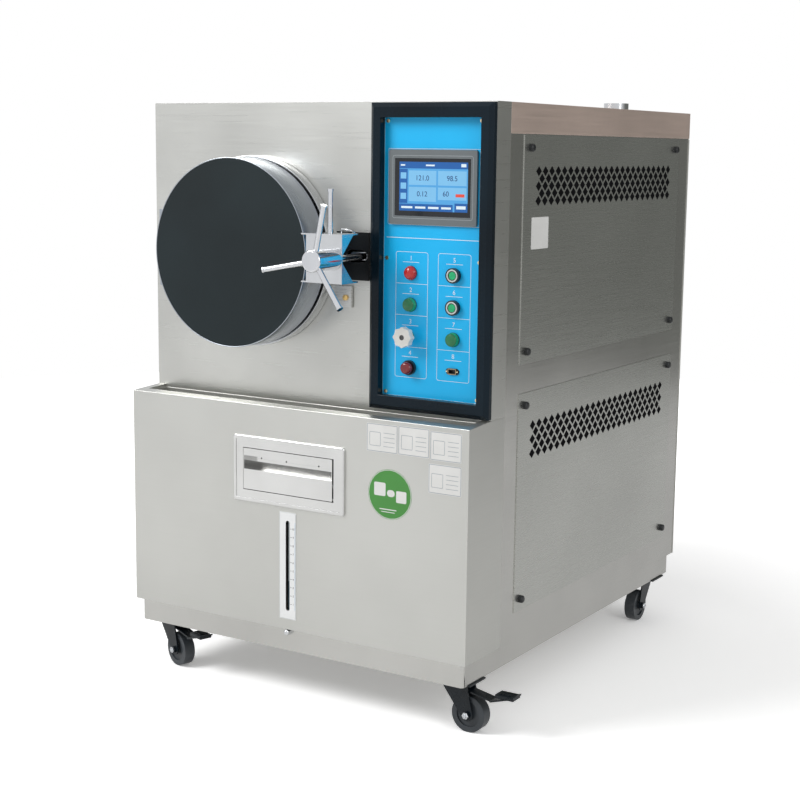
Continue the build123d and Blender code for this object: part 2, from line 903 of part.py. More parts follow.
# Three pilot lamps: one domed, two tall with flat lenses
with BuildPart() as pilot_lamps:
    lamp_bodies = (control_plate_front, control_plate_front + fitting_body_length)
    dome_place = (left_column, rows[0])
    flat_places = ((left_column, rows[1]), (right_column, rows[2]))
    dome_sphere = (dome_lamp_radius**2 + dome_lamp_height**2) / (2 * dome_lamp_height)
    dome_centre = control_plate_front - dome_lamp_height + dome_sphere
    with Locations((cabinet_x + dome_place[0], face_y + dome_centre, dome_place[1])):
        Sphere(dome_sphere)
    block(
        (dome_place[0] - 2 * dome_sphere, dome_place[0] + 2 * dome_sphere),
        (control_plate_front, control_plate_front + 3 * dome_sphere),
        (dome_place[1] - 2 * dome_sphere, dome_place[1] + 2 * dome_sphere),
        Mode.SUBTRACT,
    )
    rod_along_y(*dome_place, fitting_body_radius, lamp_bodies)
    for place in flat_places:
        rod_along_y(*place, lamp_radius, (control_plate_front - lamp_height, control_plate_front))
        rod_along_y(*place, fitting_body_radius, lamp_bodies)
write_piece(pilot_lamps, "pilot_lamps")

# Collars of the three push buttons, each with a stepped bore for its plunger
button_places = {
    "start_button": (right_column, rows[0]),
    "run_button": (right_column, rows[1]),
    "red_button": (left_column, rows[3]),
}
collar_fronts = {
    "start_button": control_plate_front - collar_height,
    "run_button": control_plate_front - collar_height,
    "red_button": control_plate_front - low_collar_height,
}
with BuildPart() as button_collars:
    for name, place in button_places.items():
        collar_front = collar_fronts[name]
        plunger_back = collar_front + plunger_recess + plunger_head
        well = plunger_back + button_travel + plunger_recess
        body_back = control_plate_front + fitting_body_length
        rod_along_y(*place, collar_radius, (collar_front, control_plate_front))
        rod_along_y(*place, fitting_body_radius, (control_plate_front, body_back))
        rod_along_y(
            *place, plunger_radius + plunger_gap, (collar_front - 1, well), Mode.SUBTRACT
        )
        rod_along_y(
            *place, plunger_stem_radius + plunger_gap, (well - 1, body_back + 1), Mode.SUBTRACT
        )
write_piece(button_collars, "button_collars")

# Two flush lens buttons and a domed one, each on a stem in its collar
for name, place in button_places.items():
    collar_front = collar_fronts[name]
    plunger_front = collar_front + plunger_recess
    plunger_back = plunger_front + plunger_head
    with BuildPart() as button:
        rod_along_y(*place, plunger_radius, (plunger_front, plunger_back))
        stem_back = plunger_back + button_travel + plunger_stem
        rod_along_y(*place, plunger_stem_radius, (plunger_back, stem_back))
        if name == "red_button":
            head_back = collar_front - mushroom_clear
            rod_along_y(*place, plunger_radius, (head_back, plunger_front))
            rod_along_y(*place, mushroom_radius, (head_back - mushroom_height, head_back))
            rim = button.faces().sort_by(Axis.Y)[0].edges()
            fillet(rim, mushroom_height * 0.7)
    write_piece(button, name)

# Exhaust valve: a body behind the plate, held by a hexagon nut in front of it
valve_place = (left_column, rows[2])
with BuildPart() as exhaust_valve:
    nut_front = control_plate_front - valve_nut
    body_back = control_plate_back + valve_body_length
    with BuildSketch(facing_front(control_plate_front)):
        with Locations(valve_place):
            RegularPolygon(valve_nut_width / 2, 6, major_radius=False)
    extrude(amount=valve_nut)
    rod_along_y(*valve_place, valve_neck_radius, (control_plate_front, control_plate_back))
    rod_along_y(*valve_place, valve_body_radius, (control_plate_back, body_back))
    rod_along_y(
        *valve_place,
        valve_stem_radius + running_gap,
        (nut_front - 1, control_plate_front + valve_stem_depth + valve_knob_gap),
        Mode.SUBTRACT,
    )
write_piece(exhaust_valve, "exhaust_valve")

# White scalloped valve knob with its stem
with BuildPart() as valve_knob:
    knob_front = control_plate_front - valve_knob_front
    knob_back = knob_front + valve_knob_thickness
    with BuildSketch(facing_front(knob_back)):
        with Locations(valve_place):
            Circle(valve_knob_radius - valve_knob_lobe / 2)
            with PolarLocations(valve_knob_radius - valve_knob_lobe, valve_knob_lobes):
                Circle(valve_knob_lobe)
    extrude(amount=valve_knob_thickness)
    neck_back = control_plate_front - valve_nut - valve_knob_gap
    rod_along_y(*valve_place, valve_knob_neck_radius, (knob_back, neck_back))
    rod_along_y(
        *valve_place, valve_stem_radius, (neck_back, control_plate_front + valve_stem_depth)
    )
write_piece(valve_knob, "valve_knob")

# Pressure vessel: a turned flange, a shell and a dished end, revolved about its axis
with BuildPart() as vessel_shell:
    flange_front = -vessel_flange_front
    flange_back = -vessel_flange_gap
    shell_end = vessel_length
    outer_dish = (vessel_outer_radius**2 + vessel_dish**2) / (2 * vessel_dish)
    inner_dish_depth = vessel_dish - vessel_wall
    inner_dish = (vessel_bore_radius**2 + inner_dish_depth**2) / (2 * inner_dish_depth)
    outer_half_angle = asin(vessel_outer_radius / outer_dish) / 2
    inner_half_angle = asin(vessel_bore_radius / inner_dish) / 2
    outer_mid = (
        shell_end + vessel_dish - outer_dish * (1 - cos(outer_half_angle)),
        outer_dish * sin(outer_half_angle),
    )
    inner_mid = (
        shell_end + inner_dish_depth - inner_dish * (1 - cos(inner_half_angle)),
        inner_dish * sin(inner_half_angle),
    )
    with BuildSketch(
        Plane(origin=(cabinet_x + door_x, face_y, axis_z), x_dir=(0, 1, 0), z_dir=(1, 0, 0))
    ):
        with BuildLine():
            Polyline(
                (flange_front, vessel_bore_radius),
                (flange_front, vessel_flange_radius),
                (flange_back, vessel_flange_radius),
                (flange_back, vessel_outer_radius),
                (shell_end, vessel_outer_radius),
            )
            ThreePointArc(
                (shell_end, vessel_outer_radius), outer_mid, (shell_end + vessel_dish, 0)
            )
            Line((shell_end + vessel_dish, 0), (shell_end + inner_dish_depth, 0))
            ThreePointArc(
                (shell_end + inner_dish_depth, 0), inner_mid, (shell_end, vessel_bore_radius)
            )
            Line((shell_end, vessel_bore_radius), (flange_front, vessel_bore_radius))
        make_face()
    revolve(axis=Axis((cabinet_x + door_x, face_y, axis_z), (0, 1, 0)))
write_piece(vessel_shell, "vessel_shell")

# Heater: one bent tube with four legs, lying in the bottom of the vessel
heater_half_width = 1.5 * heater_leg_pitch
heater_seat = vessel_bore_radius - fit_gap - heater_tube_radius
heater_z = axis_z - sqrt(heater_seat**2 - heater_half_width**2)
with BuildPart() as heater_coil:
    half_pitch = heater_leg_pitch / 2
    legs = [-heater_half_width + heater_leg_pitch * leg for leg in range(4)]
    with BuildLine(facing_up(heater_z)):
        Line((door_x + legs[0], heater_rear), (door_x + legs[0], heater_front))
        CenterArc((door_x + (legs[0] + legs[1]) / 2, heater_front), half_pitch, 180, 180)
        Line((door_x + legs[1], heater_front), (door_x + legs[1], heater_rear))
        CenterArc((door_x + (legs[1] + legs[2]) / 2, heater_rear), half_pitch, 0, 180)
        Line((door_x + legs[2], heater_rear), (door_x + legs[2], heater_front))
        CenterArc((door_x + (legs[2] + legs[3]) / 2, heater_front), half_pitch, 180, 180)
        Line((door_x + legs[3], heater_front), (door_x + legs[3], heater_rear))
    with BuildSketch(facing_front(heater_rear)):
        with Locations((door_x + legs[0], heater_z)):
            Circle(heater_tube_radius)
    sweep()
write_piece(heater_coil, "heater_coil")

# Sample rack: a perforated shelf with turned-up edges, resting on the vessel's wall
rack_bottom = axis_z - rack_drop
rack_seat = vessel_bore_radius - fit_gap
rack_half_width = sqrt(rack_seat**2 - rack_drop**2)
with BuildPart() as sample_rack:
    rack_span = (rack_front, rack_rear)
    block((door_x - rack_half_width, door_x + rack_half_width), rack_span,
          (rack_bottom, rack_bottom + rack_sheet))
    for side in (-1, 1):
        edge = sorted((side * rack_half_width, side * (rack_half_width - rack_sheet)))
        block((door_x + edge[0], door_x + edge[1]), rack_span, (rack_bottom, rack_bottom + rack_edge))
    rack_columns = int((2 * rack_half_width - rack_hole_pitch) // rack_hole_pitch)
    rack_rows = int((rack_rear - rack_front - rack_hole_pitch) // rack_hole_pitch)
    with BuildSketch(facing_up(rack_bottom)):
        with Locations((door_x, (rack_front + rack_rear) / 2)):
            with GridLocations(rack_hole_pitch, rack_hole_pitch, rack_columns, rack_rows):
                Circle(rack_hole_radius)
    extrude(amount=rack_sheet, mode=Mode.SUBTRACT)
write_piece(sample_rack, "sample_rack")

# Hinge bracket on the panel: a base plate with two pairs of ears
hinge_x = door_x - door_radius - hinge_from_door
arm_levels = (axis_z - hinge_arm_spread, axis_z + hinge_arm_spread)
ear_inner = hinge_arm_height / 2 + hinge_end_gap
ear_outer = ear_inner + hinge_ear
pin_bottom = arm_levels[0] - ear_outer
pin_top = arm_levels[1] + ear_outer
with BuildPart() as hinge_bracket:
    base_x = (hinge_x - hinge_base_width / 2, hinge_x + hinge_base_width / 2)
    block(base_x, (-hinge_base, 0), (pin_bottom, pin_top))
    for level in arm_levels:
        for side in (-1, 1):
            ear = sorted((level + side * ear_inner, level + side * ear_outer))
            block(
                (hinge_x - hinge_knuckle_radius, hinge_x + hinge_knuckle_radius),
                (-hinge_depth, 0),
                ear,
            )
            rod_along_z(hinge_x, -hinge_depth, hinge_knuckle_radius, ear)
    rod_along_z(
        hinge_x,
        -hinge_depth,
        hinge_pin_radius + socket_gap,
        (pin_bottom - 1, pin_top + 1),
        Mode.SUBTRACT,
    )
write_piece(hinge_bracket, "hinge_bracket")

with BuildPart() as hinge_pin:
    rod_along_z(hinge_x, -hinge_depth, hinge_pin_radius, (pin_bottom, pin_top))
    rod_along_z(
        hinge_x, -hinge_depth, hinge_knuckle_radius * 0.8, (pin_top, pin_top + hinge_pin_head)
    )
write_piece(hinge_pin, "hinge_pin")

# Door drum: a rolled wall with a front lip for the face and a seat for the plate
plate_front = door_rear + pressure_plate_thickness
drum_bore = door_radius - drum_wall
drum_lip_bore = door_radius - drum_lip
face_back = door_front - door_face_recess - door_face_sheet
with BuildPart() as door_drum:
    rod_along_y(door_x, axis_z, door_radius, (-door_front, -door_rear))
    rod_along_y(door_x, axis_z, drum_bore, (-door_front - 1, -face_back), Mode.SUBTRACT)
    rod_along_y(
        door_x,
        axis_z,
        drum_bore,
        (-face_back + drum_wall, -plate_front - drum_wall),
        Mode.SUBTRACT,
    )
    rod_along_y(door_x, axis_z, drum_bore, (-plate_front, -door_rear + 1), Mode.SUBTRACT)
    rod_along_y(door_x, axis_z, drum_lip_bore, (-face_back - 1, -plate_front + 1), Mode.SUBTRACT)
write_piece(door_drum, "door_drum")

# Black textured disc that closes the drum's front
with BuildPart() as door_face:
    rod_along_y(
        door_x,
        axis_z,
        drum_bore - door_face_gap,
        (-face_back - door_face_sheet, -face_back),
    )
write_piece(door_face, "door_face")

# Pressure plate with the groove that holds the seal
seal_outer = seal_radius + seal_width / 2
seal_inner = seal_radius - seal_width / 2
groove_bottom = -door_rear - seal_groove_depth
with BuildPart() as door_plate:
    plate_radius = drum_bore - pressure_plate_gap
    rod_along_y(door_x, axis_z, plate_radius, (-plate_front, -door_rear))
    with BuildSketch(facing_front(-door_rear)):
        with Locations((door_x, axis_z)):
            Circle(seal_outer + weld_gap)
            Circle(seal_inner - weld_gap, mode=Mode.SUBTRACT)
    extrude(amount=seal_groove_depth, mode=Mode.SUBTRACT)
write_piece(door_plate, "door_plate")

with BuildPart() as door_seal:
    seal_back = -vessel_flange_front - seal_gap
    with BuildSketch(facing_front(seal_back)):
        with Locations((door_x, axis_z)):
            Circle(seal_outer)
            Circle(seal_inner, mode=Mode.SUBTRACT)
    extrude(amount=seal_back - groove_bottom)
write_piece(door_seal, "door_seal")

# Two hinge straps with knuckles, welded to the drum
with BuildPart() as door_arm:
    strap_span = (-hinge_arm_front, -hinge_arm_rear)
    for level in arm_levels:
        height = (level - hinge_arm_height / 2, level + hinge_arm_height / 2)
        block((hinge_x - hinge_knuckle_radius, hinge_x + hinge_arm_reach), strap_span, height)
        rod_along_z(hinge_x, -hinge_depth, hinge_knuckle_radius, height)
    rod_along_z(
        hinge_x,
        -hinge_depth,
        hinge_pin_radius + hinge_running_gap,
        (pin_bottom, pin_top),
        Mode.SUBTRACT,
    )
    rod_along_y(
        door_x,
        axis_z,
        door_radius + weld_gap,
        (-hinge_arm_front - 1, 0),
        Mode.SUBTRACT,
    )
write_piece(door_arm, "door_arm")

# Latch bracket: two shelves, a web and two gussets, welded to the drum's right side
with BuildPart() as latch_bracket:
    shelf_inner = bracket_half_height - bracket_plate
    for side in (-1, 1):
        shelf = sorted((axis_z + side * shelf_inner, axis_z + side * bracket_half_height))
        block((door_x, bracket_right), (-bracket_front, -bracket_rear), shelf)
    web_span = (-bracket_front, -bracket_front + bracket_plate)
    block(
        (bracket_web_left, bracket_right),
        web_span,
        (axis_z - shelf_inner, axis_z + shelf_inner),
    )
    with BuildSketch(facing_right(bracket_right - bracket_plate)):
        for side in (-1, 1):
            with BuildLine():
                Polyline(
                    (-bracket_front, axis_z + side * gusset_foot),
                    (-bracket_front, axis_z + side * bracket_half_height),
                    (-gusset_rear, axis_z + side * bracket_half_height),
                    (-bracket_front + bracket_plate, axis_z + side * gusset_foot),
                    close=True,
                )
            make_face()
    extrude(amount=bracket_plate)
    rod_along_y(
        latch_x,
        axis_z,
        spindle_radius + running_gap,
        (web_span[0] - 1, web_span[1] + 1),
        Mode.SUBTRACT,
    )
    rod_along_y(
        door_x,
        axis_z,
        door_radius + weld_gap,
        (-bracket_front - 1, -bracket_rear + 1),
        Mode.SUBTRACT,
    )
write_piece(latch_bracket, "latch_bracket")

# Fixed grip rod that stands on the bracket's upper shelf
with BuildPart() as grip_rod:
    grip_foot = axis_z + bracket_half_height
    grip_top = grip_foot + grip_length
    rod_along_z(grip_x, -grip_y, grip_radius, (grip_foot, grip_top - grip_cap))
    rod_along_z(grip_x, -grip_y, grip_cap_radius, (grip_top - grip_cap, grip_top))
write_piece(grip_rod, "grip_rod")


def spoke_plane(angle):
    """A plane across a spoke, with its normal along the spoke from the hub's axis."""
    lean = radians(spoke_lean)
    turn = radians(angle)
    along = (cos(turn) * cos(lean), -sin(lean), sin(turn) * cos(lean))
    return Plane(origin=(cabinet_x + latch_x, face_y - spoke_root, axis_z), z_dir=along)


# Handwheel hub with sockets for the spokes and the spindle
spoke_start = hub_radius / 2
spindle_front = -spoke_root + spoke_radius + socket_gap + 2
with BuildPart() as handwheel_hub:
    hub_back = -bracket_front - caster_gap
    rod_along_y(latch_x, axis_z, hub_radius, (-hub_front, hub_back))
    fillet(handwheel_hub.faces().sort_by(Axis.Y)[0].edges(), hub_edge)
    rod_along_y(
        latch_x,
        axis_z,
        spindle_radius + socket_gap,
        (spindle_front, hub_back + 1),
        Mode.SUBTRACT,
    )
    for angle in spoke_angles:
        with BuildSketch(spoke_plane(angle).offset(spoke_start)):
            Circle(spoke_radius + socket_gap)
        extrude(amount=hub_radius, mode=Mode.SUBTRACT)
write_piece(handwheel_hub, "handwheel_hub")

# Three round spokes with end caps, leaning a little to the front
with BuildPart() as handwheel_spokes:
    for angle in spoke_angles:
        with BuildSketch(spoke_plane(angle).offset(spoke_start + socket_gap)):
            Circle(spoke_radius)
        extrude(amount=spoke_length - spoke_cap - spoke_start - socket_gap)
        with BuildSketch(spoke_plane(angle).offset(spoke_length - spoke_cap)):
            Circle(spoke_cap_radius)
        extrude(amount=spoke_cap)
write_piece(handwheel_spokes, "handwheel_spokes")

# Latch spindle: a rod with a collar behind the web and a one-sided lug at its end
with BuildPart() as latch_spindle:
    web_back = -bracket_front + bracket_plate + caster_gap
    lug_back = lug_front + lug_thickness
    rod_along_y(latch_x, axis_z, spindle_radius, (spindle_front, lug_back))
    rod_along_y(latch_x, axis_z, spindle_collar_radius, (web_back, web_back + spindle_collar))
    with BuildSketch(facing_front(lug_back)):
        with Locations((latch_x - lug_reach / 2, axis_z)):
            SlotCenterToCenter(lug_reach, 2 * lug_radius)
    extrude(amount=lug_thickness)
write_piece(latch_spindle, "latch_spindle")

# Keeper plate on the panel, with the slot that the lug passes
with BuildPart() as keeper_plate:
    block(
        (keeper_left, keeper_right),
        (-keeper_thickness, 0),
        (axis_z - keeper_half_height, axis_z + keeper_half_height),
    )
    with BuildSketch(facing_front(0)):
        slot_length = keeper_slot_right - keeper_slot_left
        with Locations(((keeper_slot_left + keeper_slot_right) / 2, axis_z)):
            SlotOverall(slot_length, keeper_slot_height)
    extrude(amount=keeper_thickness, mode=Mode.SUBTRACT)
write_piece(keeper_plate, "keeper_plate")

# Filling box: a beaded frame on the cover and a folded box behind it, with a spout
fill_left = fill_x - fill_opening_width / 2
fill_right = fill_x + fill_opening_width / 2
fill_floor = fill_z - fill_opening_height / 2
fill_roof = fill_z + fill_opening_height / 2
frame_face = cover_front - fill_frame_proud
box_back = cover_front + fill_box_depth
flap_pivot_y = frame_face + flap_pivot_back
flap_pivot_z = fill_floor + flap_pivot_height
spout_y = box_back - fill_spout_radius - 3 * fill_box_sheet
with BuildPart() as fill_box:
    with BuildSketch(facing_front(cover_front)):
        with Locations((fill_x, fill_z)):
            RectangleRounded(fill_frame_width, fill_frame_height, 2 * fill_frame_edge)
    extrude(amount=fill_frame_proud + fill_bead_proud)
    fillet(fill_box.faces().sort_by(Axis.Y)[0].edges(), fill_frame_edge)
    with BuildSketch(facing_front(frame_face)):
        with Locations((fill_x, fill_z)):
            RectangleRounded(
                fill_frame_width - 2 * fill_bead_width,
                fill_frame_height - 2 * fill_bead_width,
                fill_frame_edge,
            )
    extrude(amount=fill_bead_proud, mode=Mode.SUBTRACT)
    block(
        (fill_left - fill_box_sheet, fill_right + fill_box_sheet),
        (cover_front, box_back),
        (fill_floor - fill_box_sheet, fill_roof + fill_box_sheet),
    )
    block(
        (fill_left, fill_right),
        (frame_face - 1, box_back - fill_box_sheet),
        (fill_floor, fill_roof),
        Mode.SUBTRACT,
    )
    rod_along_z(fill_x, spout_y, fill_spout_radius, (fill_floor - fill_spout_length, fill_floor))
    rod_along_z(
        fill_x,
        spout_y,
        fill_spout_radius - fill_spout_wall,
        (fill_floor - fill_spout_length - 1, fill_floor + 1),
        Mode.SUBTRACT,
    )
    rod_along_x(
        flap_pivot_y,
        flap_pivot_z,
        flap_pin_radius + flap_pin_gap,
        (fill_left - fill_box_sheet, fill_right + fill_box_sheet),
        Mode.SUBTRACT,
    )
write_piece(fill_box, "fill_box")

# Filling flap: a plate with a pressed finger pocket, on a pivot rod along its foot
with BuildPart() as fill_flap:
    flap_left = fill_left + flap_gap_left
    flap_right = fill_right - flap_gap_right
    flap_bottom = fill_floor + flap_gap_below
    crease_z = flap_bottom + flap_pocket_above_bottom
    pocket_top = crease_z + flap_pocket_height
    pocket_back = frame_face + flap_pocket_depth
    block(
        (flap_left, flap_right),
        (frame_face, frame_face + flap_sheet),
        (flap_bottom, flap_bottom + flap_height),
    )
    with BuildSketch(facing_right(flap_left)):
        with BuildLine():
            Polyline(
                (frame_face, crease_z - flap_sheet),
                (pocket_back + flap_sheet, crease_z + flap_pocket_rise - flap_sheet),
                (pocket_back + flap_sheet, pocket_top + flap_sheet),
                (frame_face, pocket_top + flap_sheet),
                close=True,
            )
        make_face()
    extrude(amount=flap_right - flap_left)
    with BuildSketch(facing_right(flap_left + flap_sheet)):
        with BuildLine():
            Polyline(
                (frame_face, crease_z),
                (pocket_back, crease_z + flap_pocket_rise),
                (pocket_back, pocket_top),
                (frame_face, pocket_top),
                close=True,
            )
        make_face()
    extrude(amount=flap_right - flap_left - 2 * flap_sheet, mode=Mode.SUBTRACT)
    for hole in flap_hole_places:
        hole_z = (crease_z + flap_pocket_rise + pocket_top) / 2
        hole_span = (pocket_back - 1, pocket_back + flap_sheet + 1)
        rod_along_y(hole, hole_z, flap_hole_radius, hole_span, Mode.SUBTRACT)
    rod_along_x(flap_pivot_y, flap_pivot_z, flap_rod_radius, (flap_left, flap_right))
    rod_along_x(
        flap_pivot_y,
        flap_pivot_z,
        flap_pin_radius,
        (fill_left - fill_box_sheet, fill_right + fill_box_sheet),
    )
write_piece(fill_flap, "fill_flap")

# White gauge plate with the slot that shows the level
with BuildPart() as gauge_plate:
    with BuildSketch(facing_front(cover_front)):
        with Locations((gauge_x, gauge_z)):
            RectangleRounded(gauge_plate_width, gauge_plate_height, gauge_plate_sheet)
            SlotOverall(
                gauge_slot_height, gauge_slot_width, rotation=90, mode=Mode.SUBTRACT
            )
    extrude(amount=gauge_plate_sheet)
write_piece(gauge_plate, "gauge_plate")

# Level tube of clear glass, held between two bosses of the tank
gauge_tube_y = cover_front + sheet + gauge_tube_back
tube_bottom = gauge_z - gauge_tube_length / 2
tube_top = gauge_z + gauge_tube_length / 2
with BuildPart() as gauge_tube:
    rod_along_z(gauge_x, gauge_tube_y, gauge_tube_radius, (tube_bottom, tube_top))
    rod_along_z(
        gauge_x,
        gauge_tube_y,
        gauge_tube_radius - gauge_tube_wall,
        (tube_bottom - 1, tube_top + 1),
        Mode.SUBTRACT,
    )
write_piece(gauge_tube, "gauge_tube")

# Water tank on the deck: an open box with the two bosses of the level tube
with BuildPart() as water_tank:
    tank_top = body_bottom + tank_height
    tank_x = (gauge_x - tank_width / 2, gauge_x + tank_width / 2)
    block(tank_x, (-tank_front, tank_rear), (body_bottom, tank_top))
    for level in (tube_bottom + gauge_boss_height / 2, tube_top - gauge_boss_height / 2):
        block(
            (gauge_x - gauge_boss / 2, gauge_x + gauge_boss / 2),
            (gauge_tube_y - gauge_boss / 2, -tank_front),
            (level - gauge_boss_height / 2, level + gauge_boss_height / 2),
        )
    block(
        (tank_x[0] + tank_wall, tank_x[1] - tank_wall),
        (-tank_front + tank_wall, tank_rear - tank_wall),
        (body_bottom + tank_wall, tank_top + 1),
        Mode.SUBTRACT,
    )
    rod_along_z(
        gauge_x,
        gauge_tube_y,
        gauge_tube_radius + screw_clearance,
        (tube_bottom - 1, tube_top + 1),
        Mode.SUBTRACT,
    )
write_piece(water_tank, "water_tank")

# Drain plug on the plinth: a domed head on a washer, with a threaded stem
with BuildPart() as drain_valve:
    drain_z = body_bottom - drain_below_body
    washer_front = plinth_front - drain_washer
    rod_along_y(drain_x, drain_z, drain_radius, (washer_front, plinth_front))
    with Locations((cabinet_x + drain_x, face_y + washer_front, drain_z)):
        Sphere(drain_radius)
    rod_along_y(drain_x, drain_z, drain_stem_radius, (plinth_front, plinth_front + drain_stem))
write_piece(drain_valve, "drain_valve")

# Top nozzle: a flanged tube through the top cover
with BuildPart() as vent_nozzle:
    nozzle_top = body_top + nozzle_height
    rod_along_z(nozzle_x, nozzle_y, nozzle_radius, (body_top - nozzle_below, nozzle_top))
    rod_along_z(
        nozzle_x, nozzle_y, nozzle_flange_radius, (body_top, body_top + nozzle_flange)
    )
    rod_along_z(
        nozzle_x,
        nozzle_y,
        nozzle_bore_radius,
        (body_top - nozzle_below - 1, nozzle_top + 1),
        Mode.SUBTRACT,
    )
write_piece(vent_nozzle, "vent_nozzle")

# Cable gland in the rear panel
with BuildPart() as power_gland:
    gland_z = body_bottom + gland_height
    gland_end = cabinet_depth + gland_proud
    with BuildSketch(facing_front(cabinet_depth + gland_proud / 2)):
        with Locations((gland_x, gland_z)):
            RegularPolygon(gland_radius, 6)
    extrude(amount=gland_proud / 2)
    rod_along_y(gland_x, gland_z, gland_radius * 0.85, (cabinet_depth, gland_end))
    rod_along_y(gland_x, gland_z, gland_thread_radius, (cabinet_depth - gland_inside, cabinet_depth))
    rod_along_y(
        gland_x,
        gland_z,
        gland_bore_radius,
        (cabinet_depth - gland_inside - 1, gland_end + 1),
        Mode.SUBTRACT,
    )
write_piece(power_gland, "power_gland")

# Casters: where each kingpin stands and which way its wheel trails
front_caster_y = cover_front + front_caster_from_front
rear_caster_y = cabinet_depth - rear_caster_from_rear
casters = {
    "front_right": (caster_x, front_caster_y, 0.0, True),
    "front_left": (-caster_x, front_caster_y, -18.0, True),
    "rear_right": (caster_x, rear_caster_y, -90.0, False),
    "rear_left": (-caster_x, rear_caster_y, -90.0, False),
}
plate_bottom = caster_height - caster_plate
race_bottom = plate_bottom - race_height
crown_top = race_bottom - caster_gap
crown_bottom = crown_top - fork_crown
axle_height = wheel_radius
fork_inside = wheel_width / 2 + fork_wheel_gap
fork_outside = fork_inside + fork_sheet
pedal_pivot_z = crown_bottom - pedal_pivot_drop + pedal_knuckle_radius


def caster_plane(x, y, z, trail):
    """A level plane on a kingpin's axis whose x points where the wheel trails."""
    angle = radians(trail)
    return Plane(
        origin=(cabinet_x + x, face_y + y, z),
        x_dir=(cos(angle), sin(angle), 0),
        z_dir=(0, 0, 1),
    )


def caster_side_plane(x, y, trail, offset):
    """An upright plane along a caster's trail; a sketch there is (ahead, height)."""
    angle = radians(trail)
    side = (sin(angle), -cos(angle), 0)
    origin = (cabinet_x + x + side[0] * offset, face_y + y + side[1] * offset, 0)
    return Plane(origin=origin, x_dir=(cos(angle), sin(angle), 0), z_dir=side)


# Top plates with their races and kingpins, bolted below the base
with BuildPart() as caster_plates:
    for x, y, trail, braked in casters.values():
        with BuildSketch(facing_up(plate_bottom)):
            with Locations((x, y)):
                Rectangle(caster_plate_length, caster_plate_width)
                with GridLocations(caster_hole_pitch_x, caster_hole_pitch_y, 2, 2):
                    Circle(caster_hole_radius, mode=Mode.SUBTRACT)
        extrude(amount=caster_plate)
        rod_along_z(x, y, race_radius, (race_bottom, plate_bottom))
        nut_top = crown_bottom - caster_gap
        rod_along_z(x, y, kingpin_radius, (nut_top - kingpin_nut, race_bottom))
        rod_along_z(x, y, kingpin_nut_radius, (nut_top - kingpin_nut, nut_top))
write_piece(caster_plates, "caster_plates")

